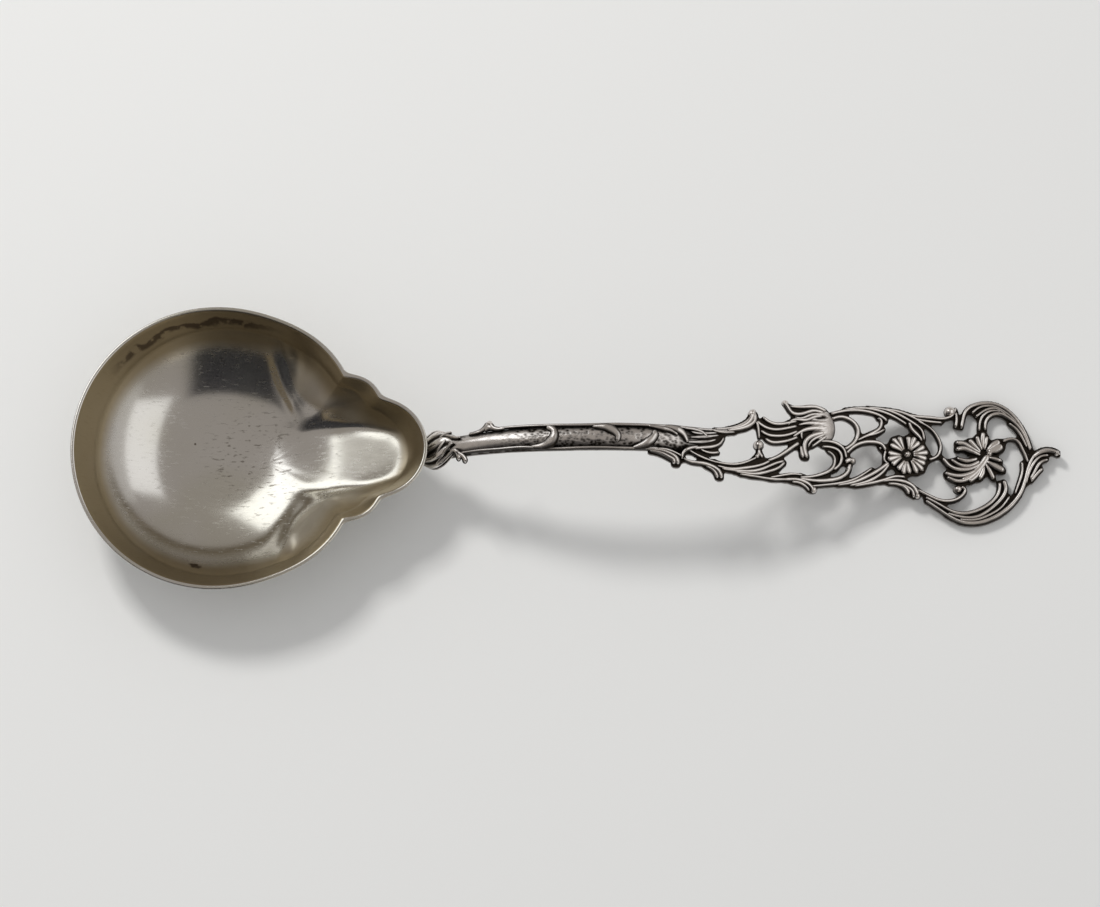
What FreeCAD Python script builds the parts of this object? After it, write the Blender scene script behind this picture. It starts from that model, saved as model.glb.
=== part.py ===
import FreeCAD, Part
import math
import os

# Sugar spoon with a round scalloped bowl and a pierced handle of lines, two
# flowers and a leaf tip, cast as one piece of silver.
# The origin is the middle of the small flat under the bowl. X runs along the
# handle to the tip, Z is up and all sizes are in millimetres.

Vec = FreeCAD.Vector

# Bowl
body_radius = 22.2
body_centre_x = 0.5
bowl_end_x = 33.0
end_lobe_radius = 7.85
side_lobe_radius = 4.75
side_lobe_x = 21.3
side_lobe_y = 6.6
bowl_depth = 12.0
bowl_wall = 1.0
rim_width = 0.9
rest_flat_radius = 2.6
floor_slope = 0.07
wall_steepness = 2.6
throat_start_x = 9.0
throat_floor = 2.6
throat_flat = 1.2
side_lobe_floor = 8.3
shoulder_radius = 14.0
shoulder_turn = 38.0
shoulder_bulge = 0.75
shoulder_floor = 3.0
band_width = 3.3
rib_height = 0.75
rib_width = 2.4

# Handle, seen from the side
root_height = 7.6
root_slope = 0.9
arch_height = 17.6
arch_top_station = 27.0
heel_station = 86.0
tip_rise = 1.0

# Handle, seen from above
shaft_length = 43.0
openwork_length = 54.7
openwork_width = 19.2
shaft_width = 3.9
shaft_neck_width = 3.0
shaft_edge_thickness = 1.7
shaft_crown = 0.75
shaft_drop = 0.25
collar_length = 5.4
collar_width = 6.0
collar_thickness = 3.6

# Pierced plate and the lines that stand on it
plate_thickness = 1.25
line_height = 0.62
line_sink = 0.3
line_foot = 0.16
border_height = 0.34
smallest_opening = 0.8
bead_radius = 0.62
rose_station = 74.0
rose_side = 0.75
rose_radius = 3.0

# The lines were drawn at these lengths and this width, and are stretched to the sizes above
DRAWN_SHAFT = 43.0
DRAWN_OPENWORK = 54.7
DRAWN_WIDTH = 19.2
DRAWN_SHAFT_WIDTH = 3.9

# Lines of the shaft: (station, side) points, then the width at the start, middle and end
SHAFT_LINES = [
    ([(10.5, 1.9), (18.7, 1.8), (28.5, 1.8), (38.4, 1.8), (46.1, 2.0)], (0.3, 0.4, 0.3)),
    ([(5.0, -1.3), (11.1, -1.4), (18.7, -1.8), (27.8, -1.8), (35.4, -1.8), (37.5, -2.4)], (0.3, 0.4, 0.3)),
    ([(6.5, 1.5), (7.9, 1.8), (8.8, 2.4), (9.4, 2.9)], (0.3, 0.5, 0.6)),
    ([(9.4, 2.9), (9.7, 2.3), (10.5, 1.9), (12.6, 1.85)], (0.6, 0.5, 0.3)),
    ([(15.7, -1.5), (17.9, -1.3), (19.2, -0.3), (19.2, 0.9), (18.1, 1.5)], (0.2, 0.9, 0.3)),
    ([(25.1, 1.4), (26.9, 1.3), (28.2, 0.8), (29.0, -0.1), (28.8, -1.0)], (0.3, 0.8, 0.3)),
    ([(31.4, -1.2), (32.6, -0.9), (33.9, -0.2), (34.5, 0.6)], (0.3, 0.8, 0.3)),
    ([(35.9, 1.2), (37.5, 0.9), (38.6, 0.2), (39.2, -0.7)], (0.3, 0.8, 0.3)),
]

# Lines of the fork where the shaft opens, and of the stems under the first flower
FORK_LINES = [
    ([(38.7, -3.1), (38.9, -2.2), (39.8, -1.5), (41.3, -1.1)], (0.3, 0.6, 0.5)),
    ([(33.1, -1.9), (35.4, -2.0), (37.0, -2.5), (37.9, -3.3), (38.1, -4.3)], (0.3, 0.5, 0.5)),
    ([(34.8, -1.8), (36.6, -1.9), (37.8, -2.3), (38.7, -2.7)], (0.3, 0.5, 0.3)),
    ([(40.6, -1.4), (42.1, -1.1), (43.5, -0.8), (44.6, -0.2), (45.2, 0.8)], (0.5, 0.6, 0.3)),
    ([(39.8, -1.7), (41.0, -2.3), (42.4, -2.8), (44.1, -3.2)], (0.3, 0.5, 0.3)),
    ([(38.9, -3.0), (41.5, -3.5), (43.0, -3.7), (44.1, -4.4), (44.7, -5.2), (44.5, -6.0)], (0.3, 0.6, 0.5)),
    ([(43.6, -3.1), (47.2, -3.2), (48.9, -2.6), (50.8, -1.5)], (0.3, 0.5, 0.3)),
    ([(44.1, -3.7), (46.1, -4.0), (48.4, -3.7), (50.3, -3.2), (52.3, -2.2)], (0.3, 0.6, 0.5)),
    ([(46.8, -4.3), (48.9, -4.5), (50.4, -4.4), (52.3, -3.8), (54.6, -2.2)], (0.3, 0.6, 0.5)),
    ([(46.8, -4.4), (50.7, -4.9), (53.0, -5.0), (57.0, -4.8)], (0.3, 0.5, 0.3)),
    ([(43.8, 2.0), (46.4, 2.4), (48.2, 3.2), (49.4, 4.4), (49.7, 5.2)], (0.3, 0.5, 0.5)),
    ([(45.7, 1.9), (47.7, 2.4), (49.1, 3.0), (50.0, 3.9), (50.0, 5.0)], (0.5, 0.8, 0.6)),
    ([(43.3, 1.8), (44.9, 1.6), (46.9, 1.8)], (0.3, 0.5, 0.3)),
]

# Lines of the hanging flower: stamens, stalk and petals
BELL_LINES = [
    ([(56.6, 4.5), (55.0, 4.0), (53.3, 3.7), (51.3, 4.5)], (0.5, 0.5, 0.5)),
    ([(56.6, 3.7), (55.0, 3.2), (53.1, 2.8), (50.3, 3.8)], (0.5, 0.5, 0.5)),
    ([(56.7, 2.9), (55.2, 2.2), (53.3, 1.8), (50.9, 2.4)], (0.5, 0.5, 0.5)),
    ([(56.7, 2.0), (55.5, 1.4), (53.9, 0.9), (51.6, 1.2)], (0.5, 0.5, 0.5)),
    ([(50.3, 3.8), (50.6, 2.6), (50.8, 1.2), (50.5, -0.4), (50.3, -2.0)], (0.8, 0.9, 0.5)),
    ([(52.0, -2.2), (53.6, -1.4), (55.1, -0.3), (56.9, 1.1)], (0.5, 0.6, 0.6)),
    ([(61.5, 6.5), (59.8, 7.1), (57.6, 6.8), (55.5, 6.7)], (0.6, 0.6, 0.3)),
    ([(61.7, 6.3), (59.5, 6.5), (57.3, 5.7), (55.8, 5.8), (54.6, 7.3)], (0.6, 0.6, 0.6)),
    ([(62.1, 5.8), (60.2, 5.6), (58.0, 4.8), (56.0, 4.6), (55.2, 3.7)], (0.6, 0.6, 0.3)),
    ([(62.3, 4.9), (60.2, 4.5), (58.2, 4.3), (56.8, 3.9)], (0.9, 0.8, 0.3)),
    ([(62.1, 4.1), (60.2, 3.8), (58.3, 3.4), (55.9, 1.9)], (0.9, 0.8, 0.3)),
    ([(61.5, 3.2), (59.4, 2.6), (58.0, 1.5), (57.7, 0.3), (58.4, -1.5)], (0.8, 0.8, 0.5)),
    ([(61.8, 3.0), (60.5, 2.0), (58.9, 0.7)], (0.6, 0.5, 0.3)),
    ([(57.7, 0.5), (57.4, -0.5), (57.3, -1.6)], (0.5, 0.6, 0.6)),
    ([(57.4, 3.0), (57.3, 2.3), (57.4, 1.7)], (0.5, 0.5, 0.3)),
]

# Lines of the scrolls between the two flowers
SCROLL_LINES = [
    ([(60.2, 1.7), (61.9, 1.8), (63.3, 1.4), (64.1, 0.5), (64.3, -0.6)], (0.3, 0.6, 0.5)),
    ([(60.5, 0.9), (62.1, 0.9), (63.2, 0.4), (63.6, -0.6), (63.3, -1.6), (62.3, -2.6)], (0.3, 0.6, 0.5)),
    ([(61.4, 0.3), (62.4, -0.5), (62.5, -1.5), (61.9, -2.6), (60.6, -3.4), (57.0, -4.3)], (0.3, 0.6, 0.4)),
    ([(52.3, -4.8), (54.1, -4.3), (55.9, -3.9), (57.4, -3.9)], (0.3, 0.5, 0.3)),
    ([(54.6, -4.8), (56.6, -4.7), (58.1, -5.1), (58.8, -5.7), (59.1, -6.3)], (0.3, 0.6, 0.6)),
    ([(57.0, -4.5), (59.3, -4.6), (61.7, -4.3), (63.6, -3.6), (64.7, -2.4), (64.9, -1.4)], (0.5, 0.8, 0.6)),
    ([(64.3, -1.2), (64.9, -0.6), (65.5, -0.7), (65.7, -1.4)], (0.5, 0.5, 0.4)),
    ([(58.8, -5.5), (61.4, -5.0), (63.6, -4.5), (65.5, -3.8), (68.4, -1.8)], (0.3, 0.5, 0.4)),
    ([(62.9, -4.9), (65.3, -4.3), (67.4, -3.3), (69.3, -2.1), (71.1, -0.7)], (0.3, 0.7, 0.6)),
    ([(64.8, -4.8), (67.2, -4.1), (69.1, -3.1), (71.1, -0.9)], (0.3, 0.6, 0.5)),
    ([(65.6, -4.8), (68.3, -4.1), (70.4, -3.4), (72.1, -2.8), (73.6, -2.8)], (0.3, 0.5, 0.5)),
    ([(69.6, -3.7), (72.0, -3.4), (73.7, -3.6), (75.0, -4.4), (75.6, -5.6)], (0.3, 0.6, 0.6)),
    ([(70.9, -4.0), (72.4, -4.0), (73.7, -4.6), (74.2, -5.5)], (0.3, 0.5, 0.5)),
    ([(62.1, 5.4), (63.6, 5.9), (65.0, 5.6), (66.1, 4.5), (66.2, 3.2), (64.1, 0.8)], (0.5, 0.8, 0.5)),
    ([(62.0, 6.2), (64.2, 6.9), (66.6, 7.2), (68.7, 7.0), (70.9, 5.9)], (0.5, 0.5, 0.5)),
    ([(64.2, 7.1), (66.9, 7.6), (69.8, 7.4), (72.0, 6.7), (74.0, 5.6)], (0.3, 0.5, 0.4)),
    ([(67.9, 7.8), (70.6, 7.7), (72.9, 7.0), (75.0, 5.9), (76.5, 4.5), (76.7, 3.3)], (0.3, 0.5, 0.5)),
    ([(70.6, 7.8), (73.0, 7.5), (75.2, 6.7), (77.0, 5.7)], (0.3, 0.5, 0.3)),
    ([(74.4, 6.0), (74.8, 4.9), (75.9, 3.8), (76.4, 3.1)], (0.5, 0.8, 0.5)),
    ([(66.1, 2.4), (67.5, 3.2), (69.1, 4.1), (69.9, 5.0), (69.4, 6.3)], (0.3, 0.6, 0.5)),
    ([(66.5, 2.6), (68.0, 3.4), (69.4, 3.9), (70.5, 4.6)], (0.3, 0.5, 0.3)),
    ([(64.4, 0.2), (65.7, 1.5), (67.2, 2.2), (68.7, 2.4), (70.0, 2.1), (70.6, 1.2)], (0.5, 0.6, 0.6)),
    ([(70.6, 1.2), (70.4, 0.4), (70.4, -0.4), (71.1, -0.9)], (0.5, 0.4, 0.4)),
    ([(75.8, 6.2), (77.7, 5.2), (78.9, 3.7), (79.3, 2.1), (78.7, 0.8), (77.4, 0.2)], (0.3, 0.5, 0.5)),
    ([(72.2, 7.6), (75.3, 7.0), (78.0, 6.9), (80.1, 6.9), (81.3, 7.5), (81.8, 8.6)], (0.3, 0.5, 0.5)),
    ([(75.3, 6.6), (77.4, 6.3), (79.6, 6.2), (81.4, 6.8)], (0.3, 0.5, 0.4)),
    ([(81.8, 7.9), (81.9, 6.7), (81.7, 5.5)], (0.5, 0.5, 0.6)),
]

# Lines of the leaf that ends the handle
TIP_LINES = [
    ([(81.8, 8.2), (83.6, 8.6), (85.2, 9.2)], (0.5, 0.5, 0.5)),
    ([(82.6, 5.4), (82.9, 6.8), (83.5, 8.3), (85.0, 9.2), (87.2, 9.4), (89.5, 8.5), (91.4, 6.5), (92.6, 4.2),
      (93.3, 2.0)], (0.6, 0.6, 0.5)),
    ([(84.3, 7.8), (85.4, 8.7), (87.3, 9.0), (89.3, 8.1), (91.0, 6.5), (92.1, 4.4)], (0.5, 0.5, 0.3)),
    ([(85.4, 5.0), (85.5, 6.2), (86.2, 7.6), (87.4, 8.2), (88.8, 8.1)], (0.3, 0.5, 0.3)),
    ([(86.3, 5.1), (87.3, 7.5), (88.7, 7.7), (90.2, 6.9), (91.6, 5.5), (92.6, 3.6), (93.2, 1.8)], (0.5, 0.6, 0.5)),
    ([(90.0, 6.2), (91.1, 5.3), (92.0, 3.9), (92.7, 2.3)], (0.5, 0.5, 0.4)),
    ([(88.4, 3.0), (90.1, 3.7), (91.2, 3.4), (91.9, 2.3), (92.5, 0.9), (92.8, -0.1)], (0.5, 0.5, 0.5)),
    ([(75.6, -4.7), (77.5, -5.6), (79.3, -6.2), (81.1, -6.1), (82.6, -5.1)], (0.5, 0.5, 0.5)),
    ([(76.8, -5.8), (79.0, -6.9), (81.0, -7.9), (83.2, -8.1), (85.4, -7.4), (87.1, -6.3), (88.4, -3.2)],
     (0.5, 0.6, 0.6)),
    ([(80.2, -8.2), (82.4, -8.7), (84.8, -8.6), (86.9, -7.4), (88.5, -5.9), (89.3, -4.3), (89.0, -2.9)],
     (0.5, 0.6, 0.8)),
    ([(82.1, -9.1), (84.6, -9.1), (86.8, -8.3), (88.7, -7.0), (89.9, -5.4)], (0.5, 0.5, 0.4)),
    ([(76.8, -6.3), (79.0, -7.7), (81.8, -9.3), (84.7, -9.6), (87.5, -8.7), (89.9, -7.0), (91.5, -5.0),
      (92.4, -2.6), (93.0, -0.5), (94.1, 1.2), (95.6, 1.8), (97.1, 1.5), (97.5, 0.9)], (0.5, 0.8, 0.7)),
    ([(91.9, 0.0), (91.9, -1.5), (91.4, -3.2), (90.7, -5.1)], (0.5, 0.5, 0.4)),
    ([(92.4, -3.4), (92.9, -1.8), (93.7, -0.2), (94.8, 0.8), (96.0, 1.0)], (0.5, 0.6, 0.4)),
    ([(93.1, -2.8), (93.9, -1.4), (94.8, -0.1), (95.9, 0.3)], (0.5, 0.6, 0.4)),
]

# Petals of the last flower, which opens to all sides
FLOWER_LINES = [
    ([(82.5, -2.9), (84.1, -2.1), (85.5, -0.7), (86.7, 1.1)], (0.6, 1.1, 0.9)),
    ([(85.7, -0.1), (84.1, -1.0), (82.3, -1.2), (80.7, -0.7), (79.6, 0.6)], (0.5, 0.7, 0.6)),
    ([(85.4, -0.9), (83.8, -1.8), (81.9, -2.2), (79.9, -1.8)], (0.5, 0.6, 0.5)),
    ([(84.7, -1.9), (83.2, -2.8), (81.6, -3.0), (80.2, -2.4)], (0.5, 0.6, 0.5)),
    ([(85.4, 0.4), (83.7, 0.0), (82.1, 0.3), (80.9, 0.8)], (0.5, 0.6, 0.5)),
    ([(85.6, 1.3), (84.0, 2.0), (82.7, 2.8), (81.7, 2.8)], (0.4, 0.9, 0.7)),
    ([(85.6, 1.6), (84.5, 2.7), (83.8, 3.6)], (0.3, 0.8, 0.8)),
    ([(85.8, 1.9), (85.3, 3.0), (85.0, 4.2)], (0.3, 0.7, 0.6)),
    ([(86.0, 2.1), (86.1, 3.5), (86.3, 4.7)], (0.3, 0.8, 0.6)),
    ([(86.4, 1.6), (87.5, 2.7), (88.6, 3.3)], (0.3, 0.9, 1.1)),
    ([(86.5, 1.4), (87.9, 1.9), (89.0, 2.2)], (0.3, 1.2, 1.2)),
    ([(86.7, 0.8), (87.7, 0.4), (88.8, 0.1)], (0.3, 0.7, 0.6)),
    ([(86.3, 0.2), (87.7, -0.6), (89.1, -1.4)], (0.3, 0.9, 0.9)),
    ([(86.2, -0.1), (86.9, -1.4), (87.5, -2.7)], (0.3, 0.6, 0.6)),
    ([(86.0, -0.5), (85.8, -1.6), (85.2, -2.7)], (0.3, 0.8, 0.6)),
    ([(85.7, -0.8), (84.9, -2.0), (83.6, -3.1)], (0.3, 0.8, 0.6)),
]

# Turns in degrees of the petals of the round flower in the middle of the openwork
ROSE_TURNS = [66, 10, -43, -103, -163, 133]

# Round beads and the cup of the hanging flower: station, side, half length, half width and height
BEADS = [(50.3, 0.7, 0.7, 0.7, 0.95), (80.6, 7.3, 0.85, 0.8, 0.95), (82.5, -4.7, 0.62, 0.62, 0.85),
         (86.4, 0.6, 0.7, 0.7, 0.95), (74.0, 0.75, 0.6, 0.6, 0.9), (60.9, 4.4, 1.7, 2.2, 0.95)]


def tip_x():
    """X of the handle's far end."""
    return bowl_end_x + shaft_length + openwork_length


def hermite(t, span, z0, slope0, z1, slope1):
    """Height at the share t of a cubic over span that has the given ends and slopes."""
    start = z0 * (2 * t ** 3 - 3 * t ** 2 + 1) + slope0 * span * (t ** 3 - 2 * t ** 2 + t)
    end = z1 * (3 * t ** 2 - 2 * t ** 3) + slope1 * span * (t ** 3 - t ** 2)
    return start + end


def place(station, side):
    """Point in plan of a drawn station along the handle and a drawn offset to its side."""
    shaft_scale = shaft_width / DRAWN_SHAFT_WIDTH
    if station < DRAWN_SHAFT:
        return bowl_end_x + station * shaft_length / DRAWN_SHAFT, side * shaft_scale
    past = station - DRAWN_SHAFT
    blend = min(1.0, past / 6.0)
    scale = (1 - blend) * shaft_scale + blend * openwork_width / DRAWN_WIDTH
    return bowl_end_x + shaft_length + past * openwork_length / DRAWN_OPENWORK, side * scale


def back_height(x):
    """Height of the handle's underside above the table at x."""
    top_x = place(arch_top_station, 0)[0]
    heel_x = place(heel_station, 0)[0]
    if x < top_x:
        span = top_x - bowl_end_x
        return hermite((x - bowl_end_x) / span, span, root_height, root_slope, arch_height, 0.0)
    if x < heel_x:
        span = heel_x - top_x
        return hermite((x - top_x) / span, span, arch_height, 0.0, 0.0, 0.0)
    return tip_rise * ((x - heel_x) / (tip_x() - heel_x)) ** 2


def shaft_half_width(x):
    """Half the width of the solid shaft, which is narrow at the collar and at its end."""
    t = (x - bowl_end_x) / shaft_length
    return 0.5 * (shaft_neck_width + (shaft_width - shaft_neck_width) * min(1.0, max(0.0, t / 0.45)))


def face_height(x, y):
    """Height of the handle's upper face at (x, y): a low crown on the shaft, flat on the openwork."""
    thickness = plate_thickness
    end_x = bowl_end_x + shaft_length
    if x < end_x:
        across = min(1.0, abs(y) / shaft_half_width(x))
        fade = min(1.0, (end_x - x) / 5.0)
        crown = shaft_edge_thickness + shaft_crown * (1 - across ** 2)
        thickness += fade * (crown - plate_thickness)
    return back_height(x) + thickness


def hollow_height(share, low):
    """Height of a bowl face that is low in the middle and at the rim's height where the share is 1."""
    t = min(1.0, max(0.0, share))
    return low + (bowl_depth - low) * (floor_slope * t + (1 - floor_slope) * t ** wall_steepness)


def side_profile(flat, radius, low):
    """Half section of a round hollow in the XZ plane: axis, flat middle, curved wall and level top."""
    bands = max(2, round((radius - flat) / band_width))
    shares = [(i / bands) ** 0.75 for i in range(bands + 1)]
    points = [Vec(flat + (radius - flat) * t, 0, hollow_height(t, low)) for t in shares]
    ends = [Vec(0, 0, bowl_depth), Vec(0, 0, low)]
    return Part.Face(Part.makePolygon([ends[1]] + points + ends))


def round_hollow(cx, cy, flat, radius, low):
    """Solid round hollow on the upright axis at (cx, cy)."""
    solid = side_profile(flat, radius, low).revolve(Vec(0, 0, 0), Vec(0, 0, 1), 360)
    return solid.translated(Vec(cx, cy, 0))


def trough(start_x, end_x, flat, radius, low):
    """Straight trough of the same section, from the bowl's middle to the end lobe's axis."""
    half = side_profile(flat, radius, low)
    half.rotate(Vec(0, 0, 0), Vec(0, 0, 1), 90)
    other = half.mirror(Vec(0, 0, 0), Vec(0, 1, 0))
    length = Vec(end_x - start_x, 0, 0)
    solids = [f.translated(Vec(start_x, 0, 0)).extrude(length) for f in (half, other)]
    return solids[0].fuse(solids[1]).removeSplitter()


def bowl_pieces(inset, lift):
    """(kind, place, flat, radius, low) of the body, the throat, its end, the side lobes and the shoulders."""
    end_x = bowl_end_x - end_lobe_radius
    turn = math.radians(shoulder_turn)
    off = body_radius - shoulder_radius + shoulder_bulge
    swell_x = body_centre_x + off * math.cos(turn)
    swell_y = off * math.sin(turn)
    return [("round", (body_centre_x, 0), rest_flat_radius, body_radius - inset, lift),
            ("trough", (throat_start_x, end_x), throat_flat, end_lobe_radius - inset, throat_floor + lift),
            ("round", (end_x, 0), throat_flat, end_lobe_radius - inset, throat_floor + lift),
            ("round", (side_lobe_x, side_lobe_y), 0.4, side_lobe_radius - inset, side_lobe_floor + lift),
            ("round", (side_lobe_x, -side_lobe_y), 0.4, side_lobe_radius - inset, side_lobe_floor + lift),
            ("round", (swell_x, swell_y), 0.4, shoulder_radius - inset, shoulder_floor + lift),
            ("round", (swell_x, -swell_y), 0.4, shoulder_radius - inset, shoulder_floor + lift)]


def bowl_solid(inset, lift):
    """Bowl filled to the rim, drawn in by inset at the rim and lifted in its middle."""
    solids = []
    for kind, (p, q), flat, radius, low in bowl_pieces(inset, lift):
        make = trough if kind == "trough" else round_hollow
        solids.append(make(p, q, flat, radius, low))
    return solids[0].multiFuse(solids[1:])


def inside_height(x, y):
    """Height of the bowl's inner face at (x, y): the lowest of the hollows that meet there."""
    heights = []
    for kind, (p, q), flat, radius, low in bowl_pieces(rim_width, bowl_wall):
        if kind == "trough":
            reach = math.hypot(x - min(max(x, p), q), y)
        else:
            reach = math.hypot(x - p, y - q)
        heights.append(hollow_height((reach - flat) / (radius - flat), low))
    return min(heights)


def inside_normal(x, y):
    """Unit direction out of the bowl's inner face at (x, y)."""
    step = 0.05
    along = (inside_height(x + step, y) - inside_height(x - step, y)) / (2 * step)
    across = (inside_height(x, y + step) - inside_height(x, y - step)) / (2 * step)
    return Vec(-along, -across, 1).normalize()


def bowl_rib(side):
    """Raised fold on one side, from the rim round the basin and down the throat."""
    drawn = [(7.9, 17.6), (9.2, 14.3), (11.5, 9.9), (13.7, 6.9), (16.5, 5.1), (20.5, 3.7), (25.0, 3.1), (28.3, 2.5)]
    points = [(x * body_radius / 22.2, y * side * body_radius / 22.2) for x, y in drawn]
    wires = []
    frames = path_frames(points, 10)
    for i, (p, ahead, across) in enumerate(frames):
        up = inside_normal(p.x, p.y)
        on = Vec(p.x, p.y, inside_height(p.x, p.y))
        level = across - up * across.dot(up)
        foot = 0.5 * rib_width * (0.35 + 0.65 * math.sin(math.pi * (i + 1) / 11))
        lift = rib_height * (0.3 + 0.7 * math.sin(math.pi * (i + 1) / 11))
        low = on - up * (0.5 * bowl_wall)
        wires.append(Part.makePolygon([low - level * foot, low + level * foot, on + up * lift, low - level * foot]))
    return Part.makeLoft(wires, True, True)


def path_frames(points, count):
    """Evenly spaced points of a smooth path in plan, each with its unit direction and side direction."""
    curve = Part.BSplineCurve()
    curve.interpolate([Vec(x, y, 0) for x, y in points])
    length = curve.length()
    frames = []
    for i in range(count):
        at = curve.parameterAtDistance(length * i / (count - 1))
        ahead = curve.tangent(at)[0]
        frames.append((curve.value(at), ahead, Vec(-ahead.y, ahead.x, 0)))
    return frames


def width_at(widths, t):
    """Width at the share t of a line that has a start, a middle and an end width."""
    start, middle, end = widths
    if t < 0.5:
        return start + (middle - start) * 2 * t
    return middle + (end - middle) * (2 * t - 1)


def line_frames(line):
    """Frames of a drawn line with its half width at each."""
    drawn, widths = line
    points = [place(station, side) for station, side in drawn]
    frames = path_frames(points, len(points) + 1)
    last = len(frames) - 1
    return [(p, a, s, width_at(widths, i / last) / 2) for i, (p, a, s) in enumerate(frames)]


def footprint(line):
    """Flat face under a line, a foot wider on each side, with pointed ends."""
    frames = line_frames(line)
    left = [p + s * (h + line_foot) for p, a, s, h in frames]
    right = [p - s * (h + line_foot) for p, a, s, h in reversed(frames)]
    p, a, s, h = frames[-1]
    far = p + a * (h + line_foot)
    p, a, s, h = frames[0]
    near = p - a * (h + line_foot)
    face = Part.Face(Part.makePolygon([near] + left + [far] + right + [near]))
    if face.normalAt(0, 0).z < 0:
        face.reverse()
    return face


def ridge(line, height):
    """Raised line with sloping sides, its foot sunk into the face below."""
    wires = []
    for p, a, s, h in line_frames(line):
        top = height * min(1.0, 0.45 + h / 0.55)
        base = face_height(p.x, p.y)
        foot = h + 0.03
        low = [p - s * foot, p + s * foot]
        crest = p + Vec(0, 0, base + top)
        corners = [v + Vec(0, 0, base - line_sink) for v in low]
        wires.append(Part.makePolygon([corners[0], corners[1], crest, corners[0]]))
    return Part.makeLoft(wires, True, True)


def rose_lines():
    """Two lines side by side for every petal of the round flower."""
    lines = []
    for turn in ROSE_TURNS:
        for spread in (-14, 14):
            points = []
            for share, part in ((0.2, 0.6), (0.6, 0.8), (0.97, 1.0)):
                a = math.radians(turn + part * spread)
                reach = share * rose_radius
                points.append((rose_station + reach * math.cos(a), rose_side + reach * math.sin(a)))
            lines.append((points, (0.3, 0.7, 0.9)))
    return lines


def oval(centre, long, wide, count):
    """Closed level wire of straight sides on an ellipse around a centre."""
    turns = [2 * math.pi * i / count for i in range(count)]
    points = [centre + Vec(long * math.cos(t), wide * math.sin(t), 0) for t in turns]
    return Part.makePolygon(points + [points[0]])


def bead(station, side, long, wide, high):
    """Domed bead that stands on the face, in flat facets."""
    x, y = place(station, side)
    base = face_height(x, y)
    count = 6 if long < 1 else 10
    levels = [(-line_sink, 1.0), (0.35 * high, 0.95), (0.8 * high, 0.68), (high, 0.25)]
    wires = [oval(Vec(x, y, base + z), long * r, wide * r, count) for z, r in levels]
    return Part.makeLoft(wires, True, True)


def arched_slab(thickness):
    """Slab that follows the handle's arch, wide enough to hold the whole openwork."""
    start = bowl_end_x + 0.6 * shaft_length
    stop = tip_x() + 3
    count = 16
    xs = [start + (stop - start) * i / count for i in range(count + 1)]
    low = Part.BSplineCurve()
    low.interpolate([Vec(x, -openwork_width, back_height(x)) for x in xs])
    high = Part.BSplineCurve()
    high.interpolate([Vec(x, -openwork_width, back_height(x) + thickness) for x in xs])
    ends = [Part.makeLine(c.value(c.FirstParameter), d.value(d.FirstParameter)) for c, d in [(low, high)]]
    ends += [Part.makeLine(c.value(c.LastParameter), d.value(d.LastParameter)) for c, d in [(low, high)]]
    wire = Part.Wire(Part.sortEdges([low.toShape(), high.toShape()] + ends)[0])
    return Part.Face(wire).extrude(Vec(0, 2 * openwork_width, 0))


def openwork_plate(lines):
    """Pierced plate: the footprints of all lines joined, pinholes closed, bent to the arch."""
    faces = [footprint(line) for line in lines]
    joined = faces[0].multiFuse(faces[1:])
    drawing = Part.makeShell(joined.Faces).removeSplitter()
    loops = [w for w in drawing.Faces[0].Wires if Part.Face(w).Area > smallest_opening]
    loops.sort(key=lambda w: -Part.Face(w).Area)
    print("outlines", len(drawing.Faces), "openings", len(loops) - 1)
    pierced = Part.Face(loops[0]).cut([Part.Face(w) for w in loops[1:]]).Faces[0]
    prism = pierced.extrude(Vec(0, 0, arch_height + 5))
    return prism.translated(Vec(0, 0, -1)).common(arched_slab(plate_thickness)).Solids[0]


def section(x, half_width, edge, crown):
    """Closed section across the shaft at x: flat back, low sides and a crowned face."""
    back = back_height(x) - shaft_drop
    outline = [(-0.82, 0), (0.82, 0), (1, 0.5 * edge), (0.95, edge), (0.5, edge + 0.8 * crown), (0, edge + crown),
               (-0.5, edge + 0.8 * crown), (-0.95, edge), (-1, 0.5 * edge), (-0.82, 0)]
    return Part.makePolygon([Vec(x, half_width * y, back + z) for y, z in outline])


def shaft():
    """Solid shaft from inside the bowl's wall to the fork."""
    wires = []
    for station in [-2.6, 0.0, 4, 10, 18, 27, 34, 39, 43.5]:
        x = bowl_end_x + station * shaft_length / DRAWN_SHAFT
        fade = min(1.0, max(0.0, (43.5 - station) / 5.0))
        half = shaft_half_width(x) * (0.75 + 0.25 * fade)
        edge = shaft_drop + 0.6 * plate_thickness + fade * (shaft_edge_thickness - 0.6 * plate_thickness)
        wires.append(section(x, half, edge, 0.2 + fade * (shaft_crown - 0.2)))
    return Part.makeLoft(wires, True, False)


def collar():
    """Leafy knop at the root of the shaft, thickest in its middle."""
    wires = []
    for t in (0.0, 0.15, 0.38, 0.62, 0.85, 1.0):
        x = bowl_end_x - 1.4 + collar_length * t
        swell = math.sin(math.pi * (0.14 + 0.72 * t))
        middle = back_height(x) + 0.5 * shaft_edge_thickness + 0.25
        turns = [2 * math.pi * i / 12 for i in range(13)]
        wide = 0.5 * collar_width * swell
        high = 0.5 * collar_thickness * swell
        points = [Vec(x, wide * math.cos(a), middle + high * math.sin(a)) for a in turns]
        wires.append(Part.makePolygon(points[:-1] + points[:1]))
    return Part.makeLoft(wires, True, True)


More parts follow.
